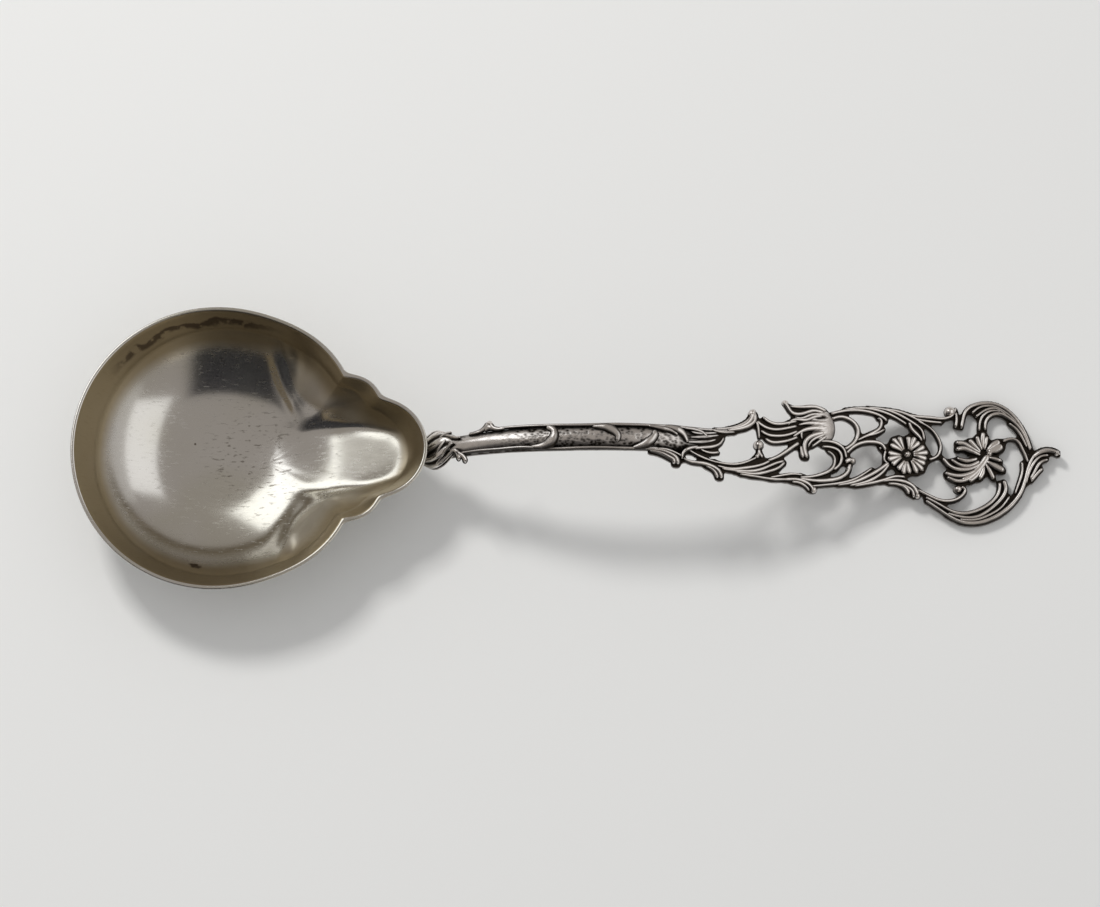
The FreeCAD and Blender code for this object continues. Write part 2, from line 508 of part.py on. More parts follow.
def main():
    """Build the spoon and write its STEP file."""
    root = bowl_solid(0, 0).fuse([shaft(), collar()]).cut(bowl_solid(rim_width, bowl_wall))
    root = root.fuse([bowl_rib(1), bowl_rib(-1)])
    root = root.fuse([ridge(line, border_height) for line in SHAFT_LINES])
    lines = FORK_LINES + BELL_LINES + SCROLL_LINES + TIP_LINES + FLOWER_LINES + rose_lines()
    plate = openwork_plate(lines).fuse([ridge(line, line_height) for line in lines])
    plate = plate.fuse([bead(*measures) for measures in BEADS])
    spoon = root.fuse(plate).Solids[0]
    print("valid", spoon.isValid(), "solids", len(spoon.Solids), "volume", round(spoon.Volume, 1))
    os.makedirs("parts", exist_ok=True)
    spoon.exportStep("parts/spoon.step")


main()
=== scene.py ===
"""Looks of the silver sugar spoon: a scalloped round bowl and a cast openwork handle of lines,
flowers and curls, on a plain pale floor under soft studio light.

Sizes are in millimetres, in the frame of the construction model, and are scaled to metres when a
mesh is made. A station is a distance along the handle from the end of the bowl, and a side is the
distance from the spoon's middle line.
"""
from __future__ import annotations

import logging
from collections.abc import Callable
from dataclasses import dataclass
from enum import Enum

import bpy
import numpy as np
from mathutils import Matrix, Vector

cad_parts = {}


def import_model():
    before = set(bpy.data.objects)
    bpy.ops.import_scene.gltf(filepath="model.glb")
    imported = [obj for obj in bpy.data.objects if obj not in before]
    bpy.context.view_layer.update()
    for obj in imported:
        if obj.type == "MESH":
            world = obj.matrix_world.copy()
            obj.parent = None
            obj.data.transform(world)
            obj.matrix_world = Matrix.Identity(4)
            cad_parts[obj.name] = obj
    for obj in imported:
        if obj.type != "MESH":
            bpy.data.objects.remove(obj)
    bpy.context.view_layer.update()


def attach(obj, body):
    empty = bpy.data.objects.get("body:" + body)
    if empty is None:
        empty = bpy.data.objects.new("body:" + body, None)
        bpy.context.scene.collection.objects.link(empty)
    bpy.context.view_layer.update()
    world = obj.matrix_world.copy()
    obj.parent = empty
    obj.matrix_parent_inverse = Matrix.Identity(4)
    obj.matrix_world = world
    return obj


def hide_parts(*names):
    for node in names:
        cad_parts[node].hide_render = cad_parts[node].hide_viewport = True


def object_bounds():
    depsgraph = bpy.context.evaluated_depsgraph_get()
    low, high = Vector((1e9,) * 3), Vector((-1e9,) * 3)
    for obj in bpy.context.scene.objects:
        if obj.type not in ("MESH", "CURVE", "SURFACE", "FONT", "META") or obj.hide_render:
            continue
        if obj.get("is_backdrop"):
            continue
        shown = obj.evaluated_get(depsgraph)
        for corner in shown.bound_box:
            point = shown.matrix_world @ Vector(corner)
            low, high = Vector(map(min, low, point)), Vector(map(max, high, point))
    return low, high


log = logging.getLogger("spoon")

MM = 0.001
# No crest stands higher over the table, and strands of one table overlap by steps of a hair
HIGHEST, HAIR = 20.28, 0.004
Array, Socket = np.ndarray, bpy.types.NodeSocket
Inputs = dict[str | int, object]
Point = tuple[float, float]
Colour = Widths = tuple[float, float, float]
Lines = tuple[tuple[tuple[Point, ...], Widths], ...]
Dome = tuple[float, float, float, float, float, float]
Surface = tuple[Array, Array, Array, Array]

# Raised lines of the casting: (station, side) of the points that a line passes through, then its width
# at the start, in the middle and at the end
COLLAR_LINES: Lines = (
    (((0.5, -1.8), (1.2, -0.9), (2.0, 0.2), (2.8, 1.2)), (0.46, 0.62, 0.46)),
    (((1.2, -2.4), (2.0, -1.5), (2.9, -0.4), (3.9, 0.4)), (0.46, 0.62, 0.46)),
    (((2.0, -2.4), (2.8, -1.6), (3.6, -1.0), (4.3, -0.6)), (0.46, 0.62, 0.46)),
    (((3.3, -0.8), (4.2, -0.9), (4.7, -1.6), (4.8, -2.4)), (0.46, 0.8, 0.9)),
    (((4.0, -0.9), (5.0, -1.5), (5.7, -2.3), (5.8, -2.9)), (0.4, 0.8, 0.95)),
    (((2.4, 1.9), (3.2, 1.7), (4.2, 1.2), (5.0, 1.1)), (0.4, 0.7, 0.4)),
    (((0.9, 0.9), (1.8, 1.6), (2.8, 2.1), (3.7, 2.2)), (0.4, 0.6, 0.4)),
)

# Stretches of bare ground: between the fork's branches and under the shaft's end
FILLS: Lines = (
    (((40.0, 0.3), (42.6, 0.5), (44.6, 1.2)), (2.6, 2.2, 0.9)),
    (((56.6, 2.4), (56.6, 3.6), (56.4, 4.6)), (0.9, 1.1, 0.9)),
)

# Low veins of the leaf at the end of the shaft
VEIN_LINES: Lines = (
    (((40.2, 1.2), (41.4, 1.1), (42.8, 1.3), (44.2, 1.5)), (0.3, 0.6, 0.3)),
    (((40.0, 0.3), (41.4, 0.5), (42.9, 0.8), (44.4, 1.1)), (0.3, 0.7, 0.3)),
    (((39.6, -0.5), (41.2, -0.3), (42.8, 0.0), (44.0, 0.4)), (0.3, 0.7, 0.3)),
)

SHAFT_LINES: Lines = (
    (((6.3, 1.5), (7.6, 1.6), (8.7, 2.1), (9.4, 2.9)), (0.31, 0.5, 0.8)),
    (((9.6, 2.8), (9.8, 2.2), (10.6, 1.8), (11.8, 1.8)), (0.8, 0.6, 0.31)),
    (((8.7, 1.75), (9.35, 2.15), (10.0, 1.8)), (0.6, 0.9, 0.6)),
    (((10.5, 1.9), (14.1, 1.9), (18.7, 1.8), (23.2, 1.7), (28.5, 1.8), (33.9, 1.8), (38.4, 1.8),
      (42.4, 1.8), (46.1, 2.0)), (0.31, 0.38, 0.31)),
    (((5.0, -1.3), (8.0, -1.3), (11.1, -1.4), (14.2, -1.4), (18.7, -1.8), (23.2, -1.8), (27.8, -1.8),
      (32.3, -1.8), (35.4, -1.8), (37.5, -2.4)), (0.31, 0.38, 0.31)),
    (((15.7, -1.4), (17.9, -1.3), (19.2, -0.3), (19.2, 0.9), (18.1, 1.5)), (0.3, 1.35, 0.6)),
    (((25.1, 1.4), (26.9, 1.3), (28.2, 0.8), (29.0, -0.1), (28.8, -1.0)), (0.31, 1.15, 0.6)),
    (((31.1, -1.8), (32.6, -1.4), (34.0, -0.6), (34.6, 0.4), (34.2, 0.8)), (0.31, 1.2, 0.8)),
    (((33.6, 1.7), (35.5, 1.4), (37.1, 1.0), (38.1, 0.4)), (0.31, 0.62, 0.31)),
    (((35.8, 1.8), (37.8, 1.4), (39.0, 0.6), (39.6, -0.6)), (0.31, 1.0, 0.4)),
    (((39.0, 1.7), (41.0, 1.6), (42.1, 1.2), (42.7, 0.6)), (0.31, 0.46, 0.31)),
)

FORK_LINES: Lines = (
    (((33.1, -1.9), (35.4, -2.0), (37.0, -2.5), (37.9, -3.2), (38.1, -4.0)), (0.31, 0.6, 0.8)),
    (((33.8, -2.1), (35.7, -2.5), (37.0, -3.1), (37.5, -3.5), (37.4, -4.0)), (0.31, 0.6, 0.7)),
    (((34.8, -1.8), (36.6, -1.9), (37.8, -2.3), (38.7, -2.7)), (0.31, 0.46, 0.31)),
    (((38.7, -3.1), (38.9, -2.2), (39.8, -1.5), (41.3, -1.1)), (0.31, 0.62, 0.46)),
    (((40.6, -1.4), (42.1, -1.1), (43.5, -0.8), (44.6, -0.2), (45.2, 0.8)), (0.46, 0.62, 0.31)),
    (((41.5, -1.4), (42.4, -1.7), (43.3, -1.8), (44.4, -1.6)), (0.31, 0.46, 0.46)),
    (((39.8, -1.7), (41.0, -2.3), (42.4, -2.8), (44.1, -3.2)), (0.31, 0.46, 0.31)),
    (((38.9, -3.0), (39.9, -3.4), (41.5, -3.5), (43.0, -3.75), (44.1, -4.3), (44.6, -4.9),
      (44.75, -5.6)), (0.31, 0.62, 0.72)),
    (((42.4, -3.9), (43.3, -4.3), (43.9, -4.9), (44.15, -5.6)), (0.31, 0.5, 0.72)),
    (((43.6, -3.1), (45.5, -3.3), (47.2, -3.2), (48.9, -2.6), (50.0, -2.0), (50.8, -1.5)),
      (0.31, 0.46, 0.31)),
    (((44.1, -3.7), (46.1, -4.0), (48.4, -3.7), (50.3, -3.2), (51.5, -2.7), (52.3, -2.2)),
      (0.31, 0.62, 0.46)),
    (((44.8, -4.1), (47.3, -4.2), (49.9, -4.0), (51.7, -3.3), (53.2, -2.5), (54.5, -2.0)),
      (0.31, 0.62, 0.46)),
    (((46.8, -4.3), (48.9, -4.5), (50.4, -4.4), (52.3, -3.8), (53.7, -3.1), (54.6, -2.2)),
      (0.31, 0.62, 0.46)),
    (((47.6, -4.7), (50.7, -4.9), (53.0, -5.0), (55.4, -4.8), (57.0, -4.8)), (0.31, 0.46, 0.31)),
    (((43.8, 2.0), (46.4, 2.4), (48.2, 3.2), (49.4, 4.4), (49.7, 5.2)), (0.31, 0.46, 0.46)),
    (((45.7, 1.9), (47.7, 2.4), (49.1, 3.0), (50.0, 3.9), (50.0, 5.0)), (0.46, 0.77, 0.62)),
    (((43.3, 1.8), (44.9, 1.6), (46.9, 1.8)), (0.31, 0.46, 0.31)),
    (((46.0, 2.15), (48.0, 2.8), (49.3, 3.8), (49.85, 5.1)), (0.4, 0.7, 0.9)),
)

BELL_LINES: Lines = (
    (((56.6, 4.5), (55.0, 4.0), (53.3, 3.7), (52.1, 4.0), (51.3, 4.5)), (0.46, 0.54, 0.54)),
    (((56.6, 3.7), (55.0, 3.2), (53.1, 2.8), (51.7, 3.0), (50.3, 3.8)), (0.46, 0.54, 0.54)),
    (((56.7, 2.9), (55.2, 2.2), (53.3, 1.8), (51.9, 1.9), (50.9, 2.4)), (0.46, 0.54, 0.54)),
    (((56.7, 2.0), (55.5, 1.4), (53.9, 0.9), (52.5, 0.8), (51.6, 1.2)), (0.46, 0.54, 0.54)),
    (((50.3, 3.8), (50.55, 2.6), (50.65, 1.2)), (0.6, 0.5, 0.35)),
    (((50.6, -0.5), (50.6, -1.2), (50.1, -2.0)), (0.4, 0.55, 0.85)),
    (((50.6, -0.5), (50.75, -1.2), (51.2, -1.8)), (0.4, 0.5, 0.7)),
    (((52.0, -2.2), (53.6, -1.4), (55.1, -0.3), (56.9, 1.1)), (0.46, 0.62, 0.62)),
    (((61.2, 6.5), (59.8, 7.0), (57.6, 6.8), (55.5, 6.7)), (0.62, 0.62, 0.31)),
    (((60.9, 6.2), (59.3, 6.4), (57.3, 5.7), (55.8, 5.8), (55.1, 6.7), (54.6, 7.3)), (0.62, 0.62, 0.62)),
    (((60.4, 5.95), (59.1, 5.8), (57.1, 5.0), (56.3, 5.1)), (0.46, 0.54, 0.31)),
    (((60.6, 5.7), (59.6, 5.5), (58.0, 4.8), (56.0, 4.6), (55.2, 3.7)), (0.62, 0.62, 0.31)),
    (((61.0, 4.7), (59.9, 4.5), (58.2, 4.3), (56.8, 3.9)), (0.92, 0.77, 0.31)),
    (((61.0, 4.0), (59.9, 3.75), (58.3, 3.4), (57.1, 2.8), (55.9, 1.9)), (0.92, 0.77, 0.31)),
    (((61.0, 3.1), (59.4, 2.6), (58.0, 1.5), (57.75, 0.4), (57.9, -0.5), (58.15, -1.1)), (0.77, 0.77, 0.85)),
    (((61.1, 2.9), (60.1, 2.4), (58.8, 1.5), (58.3, 0.6)), (0.62, 0.54, 0.31)),
    (((61.3, 2.6), (60.4, 1.9), (58.9, 0.7)), (0.62, 0.54, 0.31)),
    (((57.2, 0.7), (57.3, -0.3), (57.5, -1.15)), (0.46, 0.66, 0.85)),
    (((57.4, 3.0), (57.3, 2.3), (57.4, 1.7)), (0.46, 0.46, 0.31)),
)

SCROLL_LINES: Lines = (
    (((60.2, 1.7), (61.9, 1.8), (63.3, 1.4), (64.1, 0.5), (64.3, -0.6)), (0.31, 0.62, 0.46)),
    (((60.5, 0.9), (62.1, 0.9), (63.2, 0.4), (63.6, -0.6), (63.3, -1.6), (62.3, -2.6)), (0.31, 0.62, 0.46)),
    (((61.4, 0.3), (62.4, -0.5), (62.5, -1.5), (61.9, -2.6), (60.6, -3.4), (58.9, -4.0),
      (57.0, -4.3)), (0.31, 0.62, 0.38)),
    (((52.3, -4.8), (54.1, -4.3), (55.9, -3.9), (57.4, -3.9)), (0.31, 0.46, 0.31)),
    (((54.6, -4.8), (56.6, -4.7), (58.1, -5.1), (58.8, -5.7), (59.1, -6.3)), (0.31, 0.62, 0.62)),
    (((55.7, -5.1), (57.0, -5.2), (57.9, -5.7), (58.4, -6.2)), (0.31, 0.46, 0.46)),
    (((57.0, -4.5), (59.3, -4.6), (61.7, -4.3), (63.6, -3.6), (64.7, -2.4), (64.9, -1.4)),
      (0.46, 0.77, 0.62)),
    (((64.2, -1.4), (64.6, -0.9), (65.2, -0.8)), (0.6, 0.8, 0.95)),
    (((58.8, -5.5), (61.4, -5.0), (63.6, -4.5), (65.5, -3.8), (67.1, -2.8), (68.4, -1.8)),
      (0.31, 0.46, 0.38)),
    (((62.9, -4.9), (65.3, -4.3), (67.4, -3.3), (69.3, -2.1), (71.1, -0.7)), (0.31, 0.69, 0.62)),
    (((64.8, -4.8), (67.2, -4.1), (69.1, -3.1), (70.4, -1.9), (71.1, -0.9)), (0.31, 0.62, 0.46)),
    (((65.6, -4.8), (68.3, -4.1), (70.4, -3.4), (72.1, -2.8), (73.6, -2.8)), (0.31, 0.54, 0.46)),
    (((69.6, -3.7), (72.0, -3.4), (73.7, -3.6), (75.0, -4.4), (75.55, -5.5)), (0.31, 0.62, 0.85)),
    (((70.9, -4.0), (72.4, -4.0), (73.7, -4.6), (74.2, -5.4)), (0.31, 0.54, 0.8)),
    (((72.8, -3.9), (74.0, -4.4), (74.8, -5.1), (74.9, -5.9)), (0.31, 0.62, 0.54)),
    (((62.1, 5.4), (63.6, 5.9), (65.0, 5.6), (66.1, 4.5), (66.2, 3.2), (65.4, 1.8), (64.1, 0.8)),
      (0.46, 0.77, 0.46)),
    (((62.0, 6.2), (64.2, 6.9), (66.6, 7.2), (68.7, 7.0), (70.1, 6.5), (70.9, 5.9)), (0.46, 0.54, 0.54)),
    (((64.2, 7.1), (66.9, 7.6), (69.8, 7.4), (72.0, 6.7), (74.0, 5.6)), (0.31, 0.54, 0.38)),
    (((67.9, 7.8), (70.6, 7.7), (72.9, 7.0), (75.0, 5.9), (76.5, 4.5), (76.7, 3.3)), (0.31, 0.54, 0.46)),
    (((70.6, 7.8), (73.0, 7.5), (75.2, 6.7), (77.0, 5.7)), (0.31, 0.54, 0.31)),
    (((74.4, 6.0), (74.8, 4.9), (75.9, 3.8), (76.4, 3.1)), (0.46, 0.77, 0.46)),
    (((66.1, 2.4), (67.5, 3.2), (69.1, 4.1), (69.9, 5.0), (69.9, 6.0), (69.4, 6.3)), (0.31, 0.62, 0.46)),
    (((66.5, 2.6), (68.0, 3.4), (69.4, 3.9), (70.5, 4.6)), (0.31, 0.54, 0.31)),
    (((64.4, 0.2), (65.7, 1.5), (67.2, 2.2), (68.7, 2.4), (70.0, 2.1), (70.6, 1.2)), (0.46, 0.62, 0.62)),
    (((70.6, 1.2), (70.4, 0.4), (70.4, -0.4), (71.1, -0.9)), (0.46, 0.38, 0.38)),
    (((69.7, 1.7), (69.8, 1.3)), (0.46, 0.46, 0.46)),
    (((75.8, 6.2), (77.7, 5.2), (78.9, 3.7), (79.3, 2.1), (78.7, 0.8), (77.4, 0.2)), (0.31, 0.54, 0.46)),
    (((72.2, 7.6), (75.3, 7.0), (78.0, 6.9), (80.1, 6.9), (81.3, 7.5), (81.8, 8.6)), (0.31, 0.54, 0.46)),
    (((75.3, 6.6), (77.4, 6.3), (79.6, 6.2)), (0.31, 0.46, 0.38)),
    (((81.8, 7.9), (81.9, 6.7), (81.7, 5.5)), (0.46, 0.54, 0.62)),
)

TIP_LINES: Lines = (
    (((82.6, 5.4), (82.9, 6.8), (83.5, 8.3), (85.0, 9.2), (87.2, 9.4), (89.5, 8.5), (91.4, 6.5),
      (92.6, 4.2), (93.3, 2.0)), (0.62, 0.62, 0.46)),
    (((84.3, 7.8), (85.4, 8.7), (87.3, 9.0), (89.3, 8.1), (91.0, 6.5), (92.1, 4.4)), (0.46, 0.46, 0.31)),
    (((84.9, 7.2), (86.2, 8.2), (87.8, 8.6), (89.4, 7.7), (90.8, 6.5)), (0.46, 0.46, 0.31)),
    (((85.4, 5.0), (85.5, 6.2), (86.2, 7.6), (87.4, 8.2), (88.8, 8.1)), (0.46, 0.54, 0.31)),
    (((86.3, 5.1), (86.5, 6.6), (87.3, 7.5), (88.7, 7.7), (90.2, 6.9), (91.6, 5.5), (92.6, 3.6),
      (93.2, 1.8)), (0.54, 0.62, 0.46)),
    (((90.0, 6.2), (91.1, 5.3), (92.0, 3.9), (92.7, 2.3)), (0.46, 0.54, 0.38)),
    (((89.0, 3.3), (90.1, 3.7), (91.2, 3.4), (91.9, 2.3), (92.5, 0.9), (92.8, -0.1)), (0.46, 0.54, 0.46)),
    (((75.6, -4.7), (77.5, -5.6), (79.3, -6.2), (81.1, -6.1), (82.5, -5.3), (83.0, -4.4),
      (82.4, -3.9)), (0.46, 0.54, 0.54)),
    (((76.8, -5.8), (79.0, -6.9), (81.0, -7.9), (83.2, -8.1), (85.4, -7.4), (87.1, -6.3),
      (88.2, -4.8), (88.4, -3.2)), (0.46, 0.62, 0.62)),
    (((80.2, -8.2), (82.4, -8.7), (84.8, -8.6), (86.9, -7.4), (88.5, -5.9), (89.3, -4.3),
      (89.0, -2.9)), (0.46, 0.62, 0.77)),
    (((82.1, -9.1), (84.6, -9.1), (86.8, -8.3), (88.7, -7.0), (89.9, -5.4)), (0.46, 0.54, 0.38)),
    (((76.8, -6.3), (79.0, -7.7), (81.8, -9.3), (84.7, -9.6), (87.5, -8.7), (89.9, -7.0),
      (91.5, -5.0), (92.4, -2.6), (93.0, -0.5), (94.1, 1.2), (95.6, 1.8), (97.1, 1.5), (97.7, 1.0)),
      (0.46, 0.77, 0.5)),
    (((91.9, -0.0), (91.9, -1.5), (91.4, -3.2), (90.7, -5.1)), (0.46, 0.54, 0.38)),
    (((92.4, -3.4), (92.9, -1.8), (93.7, -0.2), (94.8, 0.8), (96.0, 1.0)), (0.46, 0.62, 0.38)),
    (((93.1, -2.8), (93.9, -1.4), (94.8, -0.1), (95.9, 0.3)), (0.46, 0.62, 0.38)),
    (((93.2, -3.1), (94.1, -2.0), (95.0, -1.1)), (0.46, 0.54, 0.54)),
    (((93.5, 0.5), (94.8, 1.5), (96.2, 1.7), (97.5, 1.2)), (0.5, 0.85, 0.6)),
)

LILY_LINES: Lines = (
    (((82.5, -2.9), (84.1, -2.1), (85.5, -0.7), (86.2, 0.3), (86.7, 1.1)), (0.62, 1.08, 0.92)),
    (((85.7, -0.1), (84.1, -1.0), (82.3, -1.2), (80.7, -0.7), (79.6, 0.6)), (0.46, 0.62, 0.54)),
    (((85.4, -0.9), (83.8, -1.8), (81.9, -2.2), (79.9, -1.8)), (0.46, 0.62, 0.54)),
    (((84.7, -1.9), (83.2, -2.8), (81.6, -3.0), (80.2, -2.4)), (0.46, 0.62, 0.46)),
    (((85.4, 0.2), (83.7, -0.6), (82.1, -0.4), (80.9, 0.4)), (0.46, 0.62, 0.46)),
    (((85.1, 0.6), (83.4, 0.2), (81.8, 0.6)), (0.46, 0.62, 0.46)),
    (((85.6, 1.1), (84.0, 1.8), (82.5, 2.2), (81.7, 1.9)), (0.31, 0.77, 0.62)),
    (((85.6, 1.5), (84.0, 2.3), (82.7, 3.0), (81.7, 3.0)), (0.31, 0.77, 0.62)),
    (((85.6, 1.6), (84.5, 2.7), (83.8, 3.6)), (0.31, 0.77, 0.77)),
    (((85.8, 1.9), (85.3, 3.0), (85.0, 4.2)), (0.31, 0.69, 0.62)),
    (((85.9, 2.1), (85.9, 3.5), (86.0, 4.8)), (0.31, 0.77, 0.62)),
    (((86.1, 1.9), (86.4, 3.2), (86.6, 4.2)), (0.31, 0.62, 0.46)),
    (((86.4, 1.6), (87.5, 2.7), (88.6, 3.3)), (0.31, 0.92, 1.08)),
    (((86.5, 1.5), (87.9, 2.1), (89.0, 2.6)), (0.31, 1.23, 1.23)),
    (((86.7, 0.8), (87.7, 0.5), (88.8, 0.2)), (0.31, 0.62, 0.46)),
    (((86.3, 0.2), (87.7, -0.6), (89.1, -1.4)), (0.31, 0.92, 0.92)),
    (((86.2, -0.1), (86.9, -1.4), (87.5, -2.7)), (0.31, 0.62, 0.62)),
    (((86.0, -0.5), (85.8, -1.6), (85.2, -2.7)), (0.31, 0.77, 0.62)),
    (((85.7, -0.8), (84.9, -2.0), (83.6, -3.1)), (0.31, 0.77, 0.62)),
)

# Round petals of the middle flower: (turn in degrees, length)
ROSE_CENTRE: Point = (74.0, 0.75)
ROSE_PETALS: tuple[Point, ...] = (
    (66.0, 3.2), (10.0, 3.4), (-43.0, 3.4), (-103.0, 3.2), (-163.0, 3.3), (133.0, 3.3),
)

# Round beads and domes: station, side, half length, half width, turn in degrees, height
BEADS: tuple[Dome, ...] = (
    (50.56, 0.12, 0.84, 0.8, 0, 1.35), (80.9, 8.0, 0.95, 0.9, 0, 1.15), (81.9, -4.3, 0.75, 0.7, 0, 1.0),
    (86.9, 1.3, 0.62, 0.55, 30, 1.25), (74.0, 0.8, 0.66, 0.55, 20, 1.3), (97.3, 1.3, 0.5, 0.5, 0, 0.85),
    (49.6, 5.0, 0.8, 0.6, 60, 0.9), (59.05, -6.0, 0.6, 0.6, 0, 0.8), (65.25, -0.85, 0.62, 0.58, 0, 1.0),
    (64.7, -2.05, 0.6, 0.5, 60, 0.9), (9.5, 2.75, 0.5, 0.5, 0, 0.95),
    (75.5, -5.6, 0.55, 0.5, 0, 0.8), (54.8, 7.2, 0.55, 0.5, 0, 0.8),
)
CUP: Dome = (60.55, 4.2, 2.1, 2.75, 0, 0.95)


class Role(Enum):
    """What a lamp is for."""

    SHEEN = "shows only as a reflection in the silver"
    LIGHT = "lights the floor and isn't seen in the silver"


@dataclass(frozen=True)
class Arch:
    """The handle's back seen from the side: up from the bowl, over an arch and down to the tip."""

    root_x: float = 33.0
    root_height: float = 7.6
    root_slope: float = 0.9
    top_x: float = 60.0
    top_height: float = 17.6
    heel_x: float = 119.0
    tip_x: float = 130.7
    tip_rise: float = 1.0

    def height(self, x: Array) -> Array:
        """Height of the back: two cubics, level at the arch's top and at the heel, then a parabola.

        Args:
            x: Distances along the spoon.

        Returns:
            Heights above the table.
        """
        span = self.top_x - self.root_x
        t = (x - self.root_x) / span
        rise = (self.root_height * (2 * t**3 - 3 * t**2 + 1) + self.root_slope * span * (t**3 - 2 * t**2 + t)
                + self.top_height * (3 * t**2 - 2 * t**3))
        s = (x - self.top_x) / (self.heel_x - self.top_x)
        fall = self.top_height * (2 * s**3 - 3 * s**2 + 1)
        end = self.tip_rise * ((x - self.heel_x) / (self.tip_x - self.heel_x)) ** 2
        return np.where(x < self.top_x, rise, np.where(x < self.heel_x, fall, end))


ARCH = Arch()


@dataclass(frozen=True)
class Shaft:
    """Solid stretch of the handle between the bowl and the openwork."""

    length: float = 43.0
    width: float = 3.9
    neck_width: float = 3.0
    edge: float = 1.7
    crown: float = 0.75
    drop: float = 0.25
    plate: float = 1.2

    def half_width(self, x: Array) -> Array:
        """Half the width at x: narrow at the collar, full from 45 % of the length on."""
        t = np.clip((x - ARCH.root_x) / self.length / 0.45, 0, 1)
        return 0.5 * (self.neck_width + (self.width - self.neck_width) * t)

    def fade(self, x: Array) -> Array:
        """1 on the shaft, falling to 0 over its last 5 mm, where the plate goes on alone."""
        return np.clip((ARCH.root_x + self.length - x) / 5.0, 0, 1)

    def face(self, x: Array, y: Array) -> Array:
        """Thickness over the back: a low crown on the shaft and the plate's on the openwork.

        Args:
            x: Distances along the spoon.
            y: Distances from the middle line.

        Returns:
            Heights of the face above the back.
        """
        across = np.clip(np.abs(y) / self.half_width(x), 0, 1)
        crowned = self.edge + self.crown * (1 - across**2)
        return self.plate + self.fade(x) * (crowned - self.plate)


SHAFT = Shaft()


def put_in(name: str, data: bpy.types.ID) -> bpy.types.Object:
    """Makes an object of some data and puts it into the scene.

    Args:
        name: Name of the object.
        data: Its mesh, lamp or camera.

    Returns:
        The object.
    """
    piece = bpy.data.objects.new(name, data)
    bpy.context.scene.collection.objects.link(piece)
    return piece


class Shell:
    """Collects closed surfaces given as grids of points and makes one mesh object of them."""

    def __init__(self, name: str) -> None:
        """Starts an empty shell.

        Args:
            name: Name of its piece.
        """
        self.name = name
        self.points: list[Array] = []
        self.relief: list[Array] = []
        self.faces: list[Array] = []
        self.count = 0

    def add(self, points: Array, relief: Array, faces: list[Array]) -> None:
        """Adds a closed surface and turns it so that its faces point outwards.

        The signed volume is a sixth of the sum over all triangles of a . (b x c).

        Args:
            points: (n, 3) places in millimetres.
            relief: n values from 0 in a recess to 1 on a crest.
            faces: Index arrays with 3 or 4 corners to a row.
        """
        volume = 0.0
        for corners in faces:
            for k in range(1, corners.shape[1] - 1):
                a, b, c = points[corners[:, 0]], points[corners[:, k]], points[corners[:, k + 1]]
                volume += float(np.einsum("ij,ij->", a, np.cross(b, c)))
        for corners in faces:
            self.faces.append((corners if volume > 0 else corners[:, ::-1]) + self.count)
        self.points.append(points)
        self.relief.append(relief)
        self.count += len(points)

    def tube(self, grid: Array, relief: Array) -> None:
        """Adds a grid that closes round its second direction and gets a fan at both ends.

        Args:
            grid: (rows, columns, 3) points, a row to each section.
            relief: (rows, columns) relief values.
        """
        rows, cols = grid.shape[:2]
        index = np.arange(rows * cols).reshape(rows, cols)
        turn = np.roll(index, -1, axis=1)
        quads = np.stack([index[:-1], turn[:-1], turn[1:], index[1:]], axis=-1).reshape(-1, 4)
        near, far = rows * cols, rows * cols + 1
        first = np.stack([np.full(cols, near), turn[0], index[0]], axis=-1)
        last = np.stack([np.full(cols, far), index[-1], turn[-1]], axis=-1)
        points = np.vstack([grid.reshape(-1, 3), grid[0].mean(axis=0), grid[-1].mean(axis=0)])
        values = np.concatenate([relief.ravel(), [relief[0].mean(), relief[-1].mean()]])
        self.add(points, values, [quads, first, last])

    def dome(self, grid: Array, relief: Array, sunk: float) -> None:
        """Adds a dome's rings, with the lowest repeated at a depth of sunk inside the ground."""
        foot = grid[:1] - np.array([0.0, 0.0, sunk])
        self.tube(np.concatenate([foot, grid]), np.concatenate([relief[:1], relief]))

    def build(self, finish: "Silver") -> bpy.types.Object:
        """Makes the object, shades it smooth and ties it to the casting.

        Args:
            finish: The silver that it wears.

        Returns:
            The new object.
        """
        mesh = bpy.data.meshes.new(self.name)
        faces = [row for corners in self.faces for row in corners.tolist()]
        mesh.from_pydata((np.vstack(self.points) * MM).tolist(), [], faces)
        mesh.polygons.foreach_set("use_smooth", np.ones(len(mesh.polygons), dtype=bool))
        layer = mesh.attributes.new("relief", "FLOAT", "POINT")
        layer.data.foreach_set("value", np.concatenate(self.relief).astype(np.float32))
        mesh.materials.append(finish.material())
        mesh.update()
        piece = put_in(self.name, mesh)
        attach(piece, "root")
        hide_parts("spoon")
        log.info("%s: %d points, %d faces", self.name, self.count, len(faces))
        return piece


def full_turn(count: int) -> Array:
    """Angles that divide a full turn evenly."""
    return np.linspace(0, 2 * np.pi, count, endpoint=False)


def arc_length(points: Array) -> Array:
    """Distance along a row of points, from 0 at the first."""
    return np.concatenate([[0.0], np.cumsum(np.hypot(*np.diff(points, axis=0).T))])


